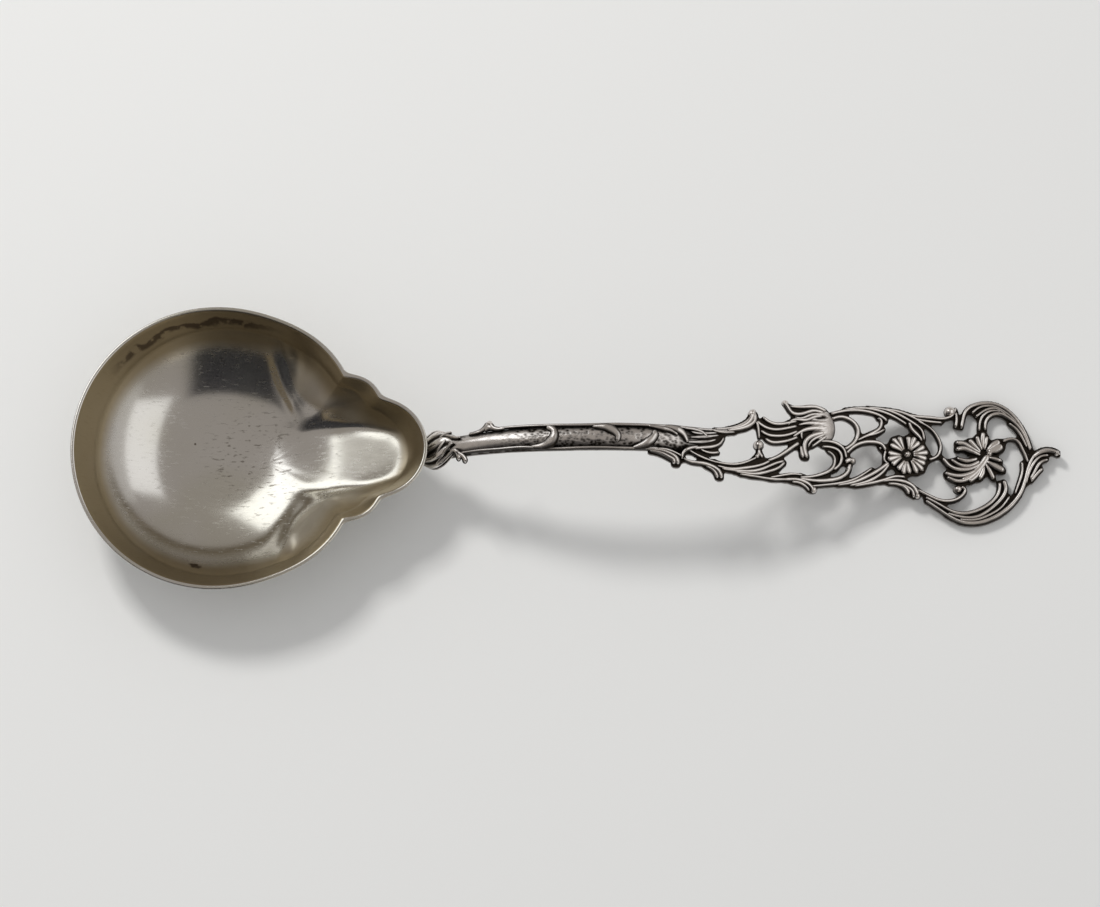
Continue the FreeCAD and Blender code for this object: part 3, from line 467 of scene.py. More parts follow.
def smooth_path(points: Array, spacing: float) -> Array:
    """Evenly spaced points of the natural cubic spline through some points.

    The second derivatives over the chord lengths solve a tridiagonal set of equations, each span is
    the cubic of its two ends, and the curve is then measured and divided again by its length.

    Args:
        points: (n, 2) points to pass through.
        spacing: Greatest distance between the new points.

    Returns:
        (m, 2) points along the curve, at least 7.
    """
    step = np.hypot(*np.diff(points, axis=0).T)
    chord = arc_length(points)
    n = len(points)
    matrix, right = np.eye(n), np.zeros((n, 2))
    i = np.arange(1, n - 1)
    if n > 2:
        matrix[i, i - 1], matrix[i, i], matrix[i, i + 1] = step[:-1], 2 * (step[:-1] + step[1:]), step[1:]
        right[1:-1] = 6 * np.diff(np.diff(points, axis=0) / step[:, None], axis=0)
    bend = np.linalg.solve(matrix, right)
    t = np.linspace(0, chord[-1], 24 * n)
    k = np.clip(np.searchsorted(chord, t, side="right") - 1, 0, n - 2)
    a = ((chord[k + 1] - t) / step[k])[:, None]
    b = 1 - a
    curve = a * points[k] + b * points[k + 1]
    curve += ((a**3 - a) * bend[k] + (b**3 - b) * bend[k + 1]) * step[k][:, None] ** 2 / 6
    arc = arc_length(curve)
    s = np.linspace(0, arc[-1], max(7, int(arc[-1] / spacing) + 2))
    return np.column_stack([np.interp(s, arc, curve[:, 0]), np.interp(s, arc, curve[:, 1])])


def smoothed(grid: Array, round_times: int, along_times: int = 0) -> Array:
    """Smooths a row or a grid of values that closes round its last direction.

    Each pass takes a quarter of both neighbours and half of the value itself.

    Args:
        grid: (rows, columns) heights.
        round_times: Passes over the columns.
        along_times: Passes over the rows, whose first and last stay as they are.

    Returns:
        The smoothed heights.
    """
    soft = grid.copy()
    for _ in range(round_times):
        soft = 0.5 * soft + 0.25 * (np.roll(soft, 1, axis=-1) + np.roll(soft, -1, axis=-1))
    for _ in range(along_times):
        soft[1:-1] = 0.5 * soft[1:-1] + 0.25 * (soft[2:] + soft[:-2])
    return soft


@dataclass(frozen=True)
class Strand:
    """A raised line of the casting, half round, that stands on the plate or on the shaft."""

    points: tuple[Point, ...]
    widths: Widths
    rise: float = 1.0
    lift: float = 0.0
    spacing: float = 0.2
    least_end: float = 0.25
    thinnest: float = 0.02
    sunk: float = 0.06
    root: float = 0.55
    lowest: float = 0.05
    tallest: float = 0.74
    base_height: float = 0.3
    height_share: float = 1.15
    crest_power: float = 0.85
    wear_and_shade_power: float = 2.4

    def path(self) -> tuple[Array, Array]:
        """Middle line in plan and the half width along it, rounded off at both ends.

        The half width runs straight from the start's to the middle's to the end's, times
        sqrt(1 - (1 - d / r)^2) where the distance d to an end is below r, the half width there.

        Returns:
            (n, 2) points in plan and n half widths.
        """
        curve = smooth_path(np.array(self.points, dtype=float), self.spacing)
        curve[:, 0] += ARCH.root_x
        arc = arc_length(curve)
        half = 0.5 * np.interp(arc / arc[-1], [0, 0.5, 1], self.widths)
        reach = np.maximum(half, self.least_end)
        near, far = (np.clip((d + self.thinnest) / reach, 0, 1) for d in (arc, arc[-1] - arc))
        cap = np.sqrt(1 - (1 - near) ** 2) * np.sqrt(1 - (1 - far) ** 2)
        return curve, np.maximum(half * cap, self.thinnest)

    def add_to(self, shell: Shell) -> None:
        """Carries the half round section along the line.

        Each section has a flat underside sunk in the ground and a crest of half ellipse shape,
        side = half width x cos(a) and height = base + h x sin(a)^0.85. The height h is rise times
        0.3 + 1.15 half widths, and is lower where the line is thin beside its widest place. The
        relief is sin(a)^2.4, less on low lines: dark where the strand is oxidised in its recesses and
        dark down the flanks as painted shade, so that only the crest stays bright.

        Args:
            shell: The shell that takes the strand.
        """
        curve, half = self.path()
        ahead = np.gradient(curve, axis=0)
        ahead /= np.maximum(np.hypot(ahead[:, 0], ahead[:, 1]), 1e-9)[:, None]
        across = np.column_stack([-ahead[:, 1], ahead[:, 0]])
        angle = np.linspace(0, np.pi, 9)
        side = np.concatenate([np.cos(angle), [-0.8, 0.8]])
        x, y = curve[:, 0], curve[:, 1]
        base = SHAFT.face(x, y) - self.sunk + self.lift
        high = (self.base_height + self.height_share * half) * self.rise
        high *= np.minimum(1, 0.25 + half / np.maximum(half.max() * 0.6, 0.1))
        high = np.clip(high, self.lowest, np.minimum(self.tallest, HIGHEST - ARCH.height(x) - base))
        up = base[:, None] + high[:, None] * np.concatenate([np.sin(angle) ** self.crest_power, [0, 0]])
        up[:, 9:] = base[:, None] - self.root
        grid = np.empty((len(curve), 11, 3))
        grid[:, :, :2] = curve[:, None] + across[:, None] * (half[:, None] * side)[:, :, None]
        grid[:, :, 2] = ARCH.height(grid[:, :, 0]) + up
        # Relief across the section: oxidised recesses, painted shade down the flanks and a bright crest
        wear_and_shade = min(1.0, 0.7 + 0.3 * self.rise)
        relief = np.concatenate([wear_and_shade * np.sin(angle) ** self.wear_and_shade_power, [0, 0]])
        shell.tube(grid, np.tile(relief, (len(curve), 1)))


class NodeKit:
    """Adds and joins the nodes of one material or of the surroundings."""

    def __init__(self, tree: bpy.types.NodeTree) -> None:
        """Keeps the tree that the nodes go into."""
        self.tree = tree

    def add(self, kind: str, inputs: Inputs | None = None, **settings: str) -> bpy.types.Node:
        """Adds a node.

        Args:
            kind: Type of the node.
            inputs: What goes into its sockets, by the sockets' names or numbers.
            settings: Choices that the node offers.

        Returns:
            The node.
        """
        node = self.tree.nodes.new(kind)
        for key, value in settings.items():
            setattr(node, key, value)
        self.feed(node, inputs or {})
        return node

    def feed(self, node: bpy.types.Node, inputs: Inputs) -> None:
        """Joins sockets to a node's inputs, or sets numbers, colours or factors on them.

        Args:
            node: The node.
            inputs: What goes into its sockets, by the sockets' names or numbers.
        """
        for key, value in inputs.items():
            target = node.inputs[key]
            if isinstance(value, Socket):
                self.tree.links.new(value, target)
            else:
                target.default_value = (*value, 1) if target.type == "RGBA" else value

    def math(self, operation: str, *values: object) -> Socket:
        """Result of an arithmetic step on sockets or numbers."""
        return self.add("ShaderNodeMath", dict(enumerate(values)), operation=operation).outputs[0]

    def product(self, first: object, *others: object) -> object:
        """Product of sockets and numbers."""
        return self.product(self.math("MULTIPLY", first, others[0]), *others[1:]) if others else first

    def from_point(self, place: Socket, point: Colour) -> Socket:
        """Distance of the coordinates from a fixed point."""
        return self.add("ShaderNodeVectorMath", {0: place, 1: point}, operation="DISTANCE").outputs["Value"]

    def noise(self, place: Socket, scale: float, detail: float, stretch: Colour = (1.0, 1.0, 1.0)) -> Socket:
        """Cloudy noise from 0 to 1, with scale grains to a metre and the three directions stretched."""
        at = self.add("ShaderNodeMapping", {"Vector": place, "Scale": stretch}).outputs["Vector"]
        return self.add("ShaderNodeTexNoise", {"Vector": at, "Scale": scale, "Detail": detail}).outputs["Fac"]

    def ramp(self, value: Socket, low: float, high: float) -> Socket:
        """Smooth step from 0 at low to 1 at high."""
        inputs = {"Value": value, "From Min": low, "From Max": high}
        return self.add("ShaderNodeMapRange", inputs, interpolation_type="SMOOTHSTEP").outputs["Result"]

    def mix(self, share: Socket, first: object, second: object) -> Socket:
        """Mix of two colours by a share."""
        inputs = {"Factor": share, "A": first, "B": second}
        return self.add("ShaderNodeMix", inputs, data_type="RGBA").outputs["Result"]


def new_material(name: str, fill: Callable[[NodeKit], Inputs]) -> bpy.types.Material:
    """Makes a material, or finds it where it has been made before.

    Args:
        name: Name of the material.
        fill: Adds the nodes and gives what goes into the shader's sockets.

    Returns:
        The material.
    """
    made = bpy.data.materials.get(name)
    if made is None:
        made = bpy.data.materials.new(name)
        made.use_nodes = True
        kit = NodeKit(made.node_tree)
        kit.feed(made.node_tree.nodes["Principled BSDF"], fill(kit))
    return made


@dataclass(frozen=True)
class Silver:
    """Cast silver, bright where it is rubbed, dark where it is oxidised in its recesses and dark
    with painted shade down the strands' flanks.
    """

    name: str
    bright: Colour = (0.78, 0.74, 0.71)
    oxide_and_shade: Colour = (0.030, 0.024, 0.019)
    smoothness: float = 0.2
    dull: float = 0.55
    blotch: float = 0.45
    dark_to: float = 0.42
    bright_from: float = 1.24

    def material(self) -> bpy.types.Material:
        """The finish as a material, made once and then used again."""
        return new_material(self.name, self.nodes)

    def nodes(self, kit: NodeKit) -> Inputs:
        """Metal whose colour and roughness follow the place and the relief.

        Args:
            kit: Adds the nodes.

        Returns:
            What goes into the shader.
        """
        place = kit.add("ShaderNodeTexCoord").outputs["Object"]
        relief = kit.add("ShaderNodeAttribute", attribute_name="relief").outputs["Fac"]
        colour, rough = self.paint(kit, place, relief)
        return {"Metallic": 1.0, "Base Color": colour, "Roughness": rough}

    def paint(self, kit: NodeKit, place: Socket, relief: Socket) -> tuple[Socket, Socket]:
        """Dark oxidised colour, and painted shade on the strands' flanks, that give way to bright
        silver as the relief rises, with a cloudy edge.

        Args:
            kit: Adds the nodes.
            place: Socket of the object's coordinates.
            relief: Socket of the relief.

        Returns:
            Sockets of the colour and of the roughness.
        """
        # Relief plus cloudy noise: low values take the dark colour, which is oxidised silver in the recesses
        # and painted shade on the strands' flanks
        wear_and_shade = kit.math("MULTIPLY_ADD", kit.noise(place, 900.0, 4.0), self.blotch, relief)
        shade = kit.ramp(wear_and_shade, self.dark_to, self.bright_from)
        rough = kit.math("MULTIPLY_ADD", shade, self.smoothness - self.dull, self.dull)
        return kit.mix(shade, self.oxide_and_shade, self.bright), rough


@dataclass(frozen=True)
class BowlSilver(Silver):
    """Worn polished silver of the bowl, yellow-brown under the rim, with streaks, pits and scratches."""

    bright: Colour = (0.66, 0.64, 0.61)
    tarnish: Colour = (0.36, 0.295, 0.19)
    warm: Colour = (0.61, 0.59, 0.53)
    dark_mark: Colour = (0.10, 0.075, 0.05)
    blot: Colour = (-0.0026, -0.0173, 0.007)
    blot_reach: float = 0.0013
    streak_centre: Colour = (0.0055, 0.0, 0.002)
    streak_reach: float = 0.0115

    def dark_marks(self, kit: NodeKit, place: Socket, relief: Socket) -> list[Socket]:
        """Pits, a ragged line under the rim on the upper left, and a blot on the lower wall.

        Args:
            kit: Adds the nodes.
            place: Socket of the object's coordinates.
            relief: Socket of the relief.

        Returns:
            Sockets of the dark marks' strengths, in the order in which they are laid on.
        """
        pits = kit.add("ShaderNodeTexVoronoi", {"Vector": place, "Scale": 210.0}).outputs["Distance"]
        wavy = kit.math("MULTIPLY_ADD", kit.noise(place, 200.0, 4.0), 0.10, relief)
        ragged = kit.ramp(kit.noise(place, 600.0, 6.0), 0.36, 0.5)
        x, y, _ = kit.add("ShaderNodeSeparateXYZ", {"Vector": place}).outputs
        side = kit.product(kit.ramp(y, 0.005, 0.012), kit.ramp(x, 0.012, 0.004),
                           kit.ramp(x, -0.0165, -0.0125))
        # A ragged darker line under the rim on the upper left, where the relief is about 0.12 to 0.17
        line = kit.product(kit.ramp(wavy, 0.118, 0.13), kit.ramp(wavy, 0.168, 0.146), ragged, side, 0.9)
        off = kit.math("MULTIPLY_ADD", kit.noise(place, 900.0, 3.0), 0.0016, kit.from_point(place, self.blot))
        speck = kit.ramp(off, self.blot_reach + 0.0005, self.blot_reach)
        return [kit.ramp(pits, 0.052, 0.015), line, speck]

    def paint(self, kit: NodeKit, place: Socket, relief: Socket) -> tuple[Socket, Socket]:
        """Clouded silver in the basin, tarnish up the wall, then streaks and dark marks.

        Args:
            kit: Adds the nodes.
            place: Socket of the object's coordinates.
            relief: Socket of the relief: low on the wall, full in the basin, half on the panels.

        Returns:
            Sockets of the colour and of the roughness.
        """
        band = kit.ramp(kit.math("MULTIPLY_ADD", kit.noise(place, 110.0, 6.0), 0.30, relief), 0.25, 1.0)
        patches = kit.ramp(kit.noise(place, 45.0, 3.0), 0.42, 0.62)
        colour = kit.mix(band, self.tarnish, kit.mix(patches, self.bright, self.warm))
        streaks = kit.ramp(kit.noise(place, 1900.0, 4.0, (0.45, 1.4, 0.45)), 0.57, 0.68)
        near = kit.ramp(kit.from_point(place, self.streak_centre), self.streak_reach, self.streak_reach * 0.3)
        for strength in [kit.product(streaks, near, 0.65), *self.dark_marks(kit, place, relief)]:
            colour = kit.mix(strength, colour, self.dark_mark)
        scratch = kit.noise(place, 900.0, 2.0, (0.5, 6.0, 0.5))
        rough = kit.math("MULTIPLY_ADD", scratch, 0.14, self.smoothness + 0.15)
        rough = kit.math("MULTIPLY_ADD", kit.ramp(relief, 0.1, 1.0), -0.24, rough)
        return colour, kit.math("MULTIPLY_ADD", streaks, 0.12, rough)


CAST_SILVER = Silver("cast_silver")
BOWL_SILVER = BowlSilver("bowl_silver")


@dataclass(frozen=True)
class Hollow:
    """One round hollow, or a straight trough, of which the bowl's faces are made."""

    start: float
    end: float
    side: float
    flat: float
    radius: float
    low: float
    climb: float = 0.0

    def away(self, x: Array, y: Array, inset: float) -> Array:
        """Share of the way from the flat middle to the hollow's rim at each point."""
        reach = np.hypot(x - np.clip(x, self.start, self.end), y - self.side)
        return np.maximum(reach - self.flat, 0) / (self.radius - inset - self.flat)

    def rim_along(self, eye: float, angle: Array, inset: float) -> Array:
        """Distance from the point (eye, 0) to the rim along each direction, 0 where there is none.

        A ray o + t d meets the circle round c at t = d.(c - o) + sqrt((d.(c - o))^2 - |c - o|^2 + r^2).

        Args:
            eye: X of the rays' start.
            angle: Directions in radians.
            inset: How far the rim is drawn in.

        Returns:
            Distances along the rays.
        """
        radius = self.radius - inset
        away, aside = np.cos(angle), np.sin(angle)
        best = np.zeros_like(angle)
        for centre in (self.start, self.end):
            along = away * (centre - eye) + aside * self.side
            inside = along**2 - (centre - eye) ** 2 - self.side**2 + radius**2
            best = np.maximum(best, np.where(inside > 0, along + np.sqrt(np.maximum(inside, 0)), 0))
        if self.end > self.start:
            wall = radius / np.maximum(np.abs(aside), 1e-6)
            meets = eye + wall * away
            best = np.maximum(best, np.where((meets > self.start) & (meets < self.end), wall, 0))
        return best


@dataclass(frozen=True)
class Bowl:
    """Pear-shaped bowl with a notched rim and two soft folds that run into the throat."""

    depth: float = 12.0
    wall: float = 1.0
    rim: float = 0.62
    skin: float = 0.12
    clear: float = 0.005
    eye: float = 8.0
    soft: float = 0.8
    rays: int = 512
    slack: float = 0.05
    steepness: float = 2.9
    even_passes: int = 160
    fold_passes: tuple[int, int] = (18, 8)
    notch_passes: tuple[int, int] = (60, 8)
    body: Hollow = Hollow(0.5, 0.5, 0.0, 2.6, 22.2, 0.0)
    tongue: Hollow = Hollow(9.0, 25.15, 0.0, 4.0, 7.85, 2.0, 0.2)
    trough: Hollow = Hollow(9.0, 25.15, 0.0, 1.2, 7.85, 2.6)
    lobes: tuple[Hollow, ...] = (
        Hollow(21.3, 21.3, 6.6, 0.4, 4.75, 8.3), Hollow(21.3, 21.3, -6.6, 0.4, 4.75, 8.3),
        Hollow(7.55, 7.55, 5.51, 0.4, 14.0, 3.0), Hollow(7.55, 7.55, -5.51, 0.4, 14.0, 3.0),
    )
    crest: tuple[Point, ...] = ((8.1, 17.1), (9.7, 13.3), (11.7, 9.5), (13.9, 6.3), (17.5, 3.8), (28.2, 2.0))
    crest_height: float = 0.6
    crest_reach: float = 1.0
    lower_crest: float = 0.35
    groove: tuple[Point, ...] = (
        (9.4, 17.4), (10.2, 16.0), (11.6, 12.0), (12.9, 9.4),
        (16.5, 7.0), (20.6, 5.3), (24.6, 4.3), (28.4, 3.3),
    )
    groove_depth: float = 0.3
    groove_reach: float = 0.7
    lower_groove: float = 0.5
    panel_slope: float = 0.8
    panel_top: float = 10.0
    band: float = 2.6
    body_band: float = 4.2
    foot_share: float = 0.8
    basin_run: float = 2.2
    dull_share: float = 0.6
    dull_turn: float = 1.45
    wall_even: float = 0.45
    panel_lift: float = 0.3
    lip: float = 0.02
    lip_drop: float = 0.25
    within: float = 0.01

    def rim_reach(self, angle: Array, inset: float, lobed: bool = True) -> Array:
        """Distance from the eye to the rim in each direction: the soft greatest over the hollows.

        Args:
            angle: Directions in radians.
            inset: How far the rim is drawn in.
            lobed: Whether the side lobes count.

        Returns:
            Distances from the eye.
        """
        parts = (self.body, self.trough) + (self.lobes if lobed else ())
        reaches = np.stack([h.rim_along(self.eye, angle, inset) for h in parts])
        top = reaches.max(axis=0)
        return top + self.soft * np.log(np.exp((reaches - top) / self.soft).sum(axis=0))

    def face(self, share: Array, angle: Array, inset: float, lift: float,
             throat: Hollow) -> tuple[Array, ...]:
        """Points of a face on rays from the eye, at shares of the way to the rim.

        The shares are of a rim that is smoothed over the rays, and share^6 of the difference to the true
        rim is added. The height is read where the ray would be without the side lobes: towards the rim
        the distance is drawn in by share^4 of the difference, so that the lobes only widen the wall.

        Args:
            share: Shares of the way, from 0 to 1.
            angle: Directions in radians.
            inset: How far the face's rim is drawn in.
            lift: How far its middle is raised.
            throat: The trough that this face has.

        Returns:
            X, y and z of the points, a row to each share and a column to each direction.
        """
        share = share[:, None]
        full, plain = self.rim_reach(angle, inset), self.rim_reach(angle, inset, False)
        even = smoothed(full, self.even_passes)
        reach = share * even + share**6 * (full - even)
        read = reach * (1 + share**4 * (plain / full - 1))
        z = self.height(self.eye + read * np.cos(angle), read * np.sin(angle), inset, lift, throat)
        return self.eye + reach * np.cos(angle), reach * np.sin(angle), z

    def height(self, x: Array, y: Array, inset: float, lift: float, throat: Hollow) -> Array:
        """Height of a face: the soft least over body and throat of low + (depth - low)(0.05 t + 0.95 t^2.9).

        A hollow that climbs has its low raised by climb to each millimetre from its start.

        Args:
            x: Distances along the spoon.
            y: Distances from the middle line.
            inset: How far the face's rim is drawn in.
            lift: How far its middle is raised.
            throat: The trough that this face has.

        Returns:
            Heights above the table, at most the rim's.
        """
        levels = []
        for h in (self.body, throat):
            t = np.minimum(h.away(x, y, inset), 2.5)
            low = h.low + lift + h.climb * np.clip(x - h.start, 0, None)
            levels.append(low + (self.depth - low) * (self.slack * t + (1 - self.slack) * t**self.steepness))
        stack = np.stack(levels)
        least = stack.min(axis=0)
        blend = least - self.soft * np.log(np.exp(-(stack - least) / self.soft).sum(axis=0))
        return np.clip(blend, self.clear, self.depth)

    def across(self, line: tuple[Point, ...], angle: Array) -> tuple[Array, Array, Array]:
        """Where rays from the eye meet a line that runs from the rim to the throat.

        Args:
            line: Points of the line on the upper side.
            angle: Directions in radians, from 0 to pi.

        Returns:
            Distance to the line, sine of the angle between ray and line, and height of the ground there.
        """
        path = smooth_path(np.array(line), 0.3)[::-1]
        off = path - np.array([self.eye, 0.0])
        turn, far = np.arctan2(off[:, 1], off[:, 0]), np.hypot(off[:, 0], off[:, 1])
        ahead = np.gradient(path, axis=0)
        ahead /= np.hypot(ahead[:, 0], ahead[:, 1])[:, None]
        slant = np.abs(off[:, 0] * ahead[:, 1] - off[:, 1] * ahead[:, 0]) / far
        ground = self.height(path[:, 0], path[:, 1], self.rim, self.wall, self.tongue)
        return np.interp(angle, turn, far), np.interp(angle, turn, slant), np.interp(angle, turn, ground)

    def panels(self, z: Array, reach: Array, angle: Array, left: Array) -> Array:
        """Raises a crest on each side and lays a groove, a panel and a steep wall between it and the rim.

        With q the distance from a line across its run, the crest adds h exp(-(q / w)^2) and the groove
        takes d exp(-(q / v)^2), both less on the lower side. Behind the groove the panel rises evenly
        with q, and in the band under the rim the wall takes 0.45 s + 0.55 s^2 of the height that is left,
        s being the share of the way over the band.

        Args:
            z: (rows, rays) heights without the folds.
            reach: (rows, rays) distances from the eye.
            angle: Directions in radians.
            left: (rows, rays) shortest distances to the rim.

        Returns:
            The new heights.
        """
        a = np.abs(np.arctan2(np.sin(angle), np.cos(angle)))
        turn, above = np.degrees(a), np.sin(angle) > 0
        crest_at, slant, _ = self.across(self.crest, a)
        fold = np.interp(turn, [36, 64, 82, 91], [0, 1, 1, 0])
        crest = self.crest_height * fold * np.where(above, 1.0, self.lower_crest)
        z = z + crest * np.exp(-(((reach - crest_at) * slant / self.crest_reach) ** 2))
        groove_at, slant, ground = self.across(self.groove, a)
        q = (reach - groove_at) * slant
        panel = ground + self.panel_lift * fold + self.panel_slope * np.clip(q, 0, None)
        panel = np.minimum(panel, self.panel_top)
        s = np.clip(1 - left / self.band, 0, 1)
        shaped = np.where(q < 0, z, panel)
        shaped = shaped + (self.depth - shaped) * (self.wall_even * s + (1 - self.wall_even) * s**2)
        deep = self.groove_depth * np.interp(turn, [3, 12, 45, 60, 86], [0, 1, 1, 0.45, 0.2])
        deep = deep * np.where(above, 1.0, self.lower_groove)
        shaped = shaped - deep * np.exp(-((q / self.groove_reach) ** 2)) * (1 - s)
        mask = np.interp(turn, [0, 9, 77, 90], [0, 1, 1, 0])
        return z + mask**2 * (3 - 2 * mask) * (shaped - z)

    def inner(self, share: Array, angle: Array) -> Surface:
        """Inner face with its folds, smoothed most where they pass the notches.

        The relief is 0.02 at the rim and 0.2 at the foot of the wall, and rises by 0.8 over the next
        2.2 mm, or by 0.32 on the dull panels behind the grooves.

        Args:
            share: Shares of the way from the eye to the rim.
            angle: Directions in radians.

        Returns:
            X, y, z and relief of the points.
        """
        a = np.abs(np.arctan2(np.sin(angle), np.cos(angle)))
        x, y, z = self.face(share, angle, self.rim, self.wall, self.tongue)
        reach, edge = np.hypot(x - self.eye, y), self.rim_reach(angle, self.rim)
        rim_x, rim_y = self.eye + edge * np.cos(angle), edge * np.sin(angle)
        left = np.stack([np.hypot(rim_x - row_x[:, None], rim_y - row_y[:, None]).min(axis=1)
                         for row_x, row_y in zip(x, y)])
        z = smoothed(self.panels(z, reach, angle, left), *self.fold_passes)
        notch = np.interp(np.degrees(a), [12, 26, 50, 66], [0, 1, 1, 0])
        z = z + notch * (smoothed(z, *self.notch_passes) - z)
        foot = self.foot_share * np.interp(a, [1.3, 1.75], [self.band, self.body_band])
        dull = np.clip(reach - self.across(self.groove, a)[0] + 0.5, 0, 1) * (a < self.dull_turn)
        basin = np.clip((left - foot) / self.basin_run, 0, 1) * (1 - self.dull_share * dull)
        relief = 0.02 + 0.18 * np.clip(left / foot, 0, 1) + 0.8 * basin
        return x, y, np.minimum(z, self.depth - self.skin), relief

    def outer(self, inside: Array, inside_share: Array, angle: Array) -> Surface:
        """Outer face, held under the inner face at the same share of the way.

        Args:
            inside: Heights of the inner face, a row to each share.
            inside_share: Shares of those rows.
            angle: Directions in radians.

        Returns:
            X, y, z and relief of the points, from the rim to the middle.
        """
        share = np.concatenate([np.linspace(0.995, 0.9, 14), np.linspace(0.88, 0.01, 34)])
        x, y, z = self.face(share, angle, self.lip, self.within, self.trough)
        row = np.interp(share, inside_share, np.arange(len(inside_share)))
        below = row.astype(int)
        part = (row - below)[:, None]
        cover = (1 - part) * inside[below] + part * inside[np.minimum(below + 1, len(inside) - 1)]
        z = np.maximum(np.minimum(np.minimum(z, self.depth - self.lip_drop), cover - self.skin), self.clear)
        return x, y, z, np.full_like(z, 0.9)

    def build(self) -> None:
        """Lays rings from the middle of the inner face over the lip to the middle of the outer face."""
        angle = full_turn(self.rays)
        share = np.concatenate([np.linspace(0.01, 0.9, 62), np.linspace(0.906, 1.0, 16)])
        rows = [self.inner(share, angle)]
        start, end = self.rim_reach(angle, self.rim), self.rim_reach(angle, self.lip)
        for t, drop in ((0.15, 0.0), (0.4, 0.0), (0.7, 0.0), (0.92, 0.06), (1.0, 0.2)):
            ring = (start + (end - start) * t)[None]
            top = np.full_like(ring, self.depth - self.within - drop)
            rows.append((self.eye + ring * np.cos(angle), ring * np.sin(angle), top, np.full_like(ring, 1.3)))
        rows.append(self.outer(rows[0][2], share, angle))
        x, y, z, relief = (np.vstack([r[i] for r in rows]) for i in range(4))
        shell = Shell("bowl")
        shell.tube(np.stack([x, y, z], axis=-1), relief)
        shell.build(BOWL_SILVER)


@dataclass(frozen=True)
class Openwork:
    """Pierced plate of the handle: the ground that joins the strands that stand on it."""

    start: float = 66.5
    end: float = 131.0
    side: float = 11.5
    cell: float = 0.15
    reach: float = 0.36
    foot: float = 0.1
    margin: float = 1.6
    bevel: float = 0.25
    back_bevel: float = 0.2
    within: float = 0.01
    thickness: float = 1.2

    def ground(self, strands: list[Strand]) -> None:
        """Lays the plate wherever the strands are near.

        Every strand adds exp(-(d / reach)^2) at the distance d from its edge, so that narrow gaps
        close and joints get a fillet. The plate fills the cells where the sum stands for a distance
        below the foot, and the outermost corners are moved on to that line along the gradient.

        Args:
            strands: All strands of the openwork.
        """
        xs, ys = np.arange(self.start, self.end, self.cell), np.arange(-self.side, self.side, self.cell)
        total = np.zeros((len(xs), len(ys)))
        for strand in strands:
            curve, half = strand.path()
            low, high = curve.min(axis=0) - self.margin, curve.max(axis=0) + self.margin
            i = slice(*np.searchsorted(xs, [low[0], high[0]]))
            j = slice(*np.searchsorted(ys, [low[1], high[1]]))
            if i.start >= i.stop or j.start >= j.stop:
                continue
            gap = np.hypot(xs[i][:, None, None] - curve[:, 0], ys[j][None, :, None] - curve[:, 1]) - half
            total[i, j] += np.exp(-((np.maximum(gap.min(axis=-1), 0) / self.reach) ** 2))
        away = self.reach * np.sqrt(np.maximum(0, -np.log(np.clip(total, 1e-9, 1))))
        inside = away < self.foot
        slope_x, slope_y = np.gradient(away, self.cell)
        steep = np.maximum(slope_x**2 + slope_y**2, 0.05)
        move = np.clip((away - self.foot) / steep, -1.2 * self.cell, 1.2 * self.cell)
        move = np.where(inside, 0, move)
        x, y = xs[:, None] - move * slope_x, ys[None, :] - move * slope_y
        edge = np.clip(away / self.foot, 0, 1) * (total < 1.2)
        self.lay(x, y, edge**2, inside[:-1, :-1] | inside[1:, :-1] | inside[:-1, 1:] | inside[1:, 1:])

    def lay(self, x: Array, y: Array, edge: Array, keep: Array) -> None:
        """Makes the plate of the kept cells: a top, a back and walls round every edge.

        Args:
            x: Distances of the corners along the spoon.
            y: Distances of the corners from the middle line.
            edge: 1 at the plate's rim, where it is rounded, and 0 inside.
            keep: Which cells are filled.
        """
        back = ARCH.height(x)
        top = back + self.thickness - self.bevel * edge
        low = back + self.within + self.back_bevel * edge
        index = np.arange(x.size).reshape(x.shape)
        quads = np.stack([index[:-1, :-1], index[1:, :-1], index[1:, 1:], index[:-1, 1:]], axis=-1)[keep]
        edges = np.concatenate([quads[:, [k, (k + 1) % 4]] for k in range(4)])
        key = np.sort(edges, axis=1) @ np.array([x.size, 1])
        _, first, times = np.unique(key, return_index=True, return_counts=True)
        rim = edges[first[times == 1]]
        walls = np.column_stack([rim[:, 1], rim[:, 0], rim[:, 0] + x.size, rim[:, 1] + x.size])
        faces = np.concatenate([quads, quads[:, ::-1] + x.size, walls])
        used, faces = np.unique(faces, return_inverse=True)
        points = np.concatenate([np.stack([x, y, z], -1).reshape(-1, 3) for z in (top, low)])
        relief = np.concatenate([0.4 * edge.ravel(), np.full(x.size, 0.6)])
        shell = Shell("openwork_ground")
        shell.add(points[used], relief[used], [faces.reshape(-1, 4)])
        shell.build(CAST_SILVER)


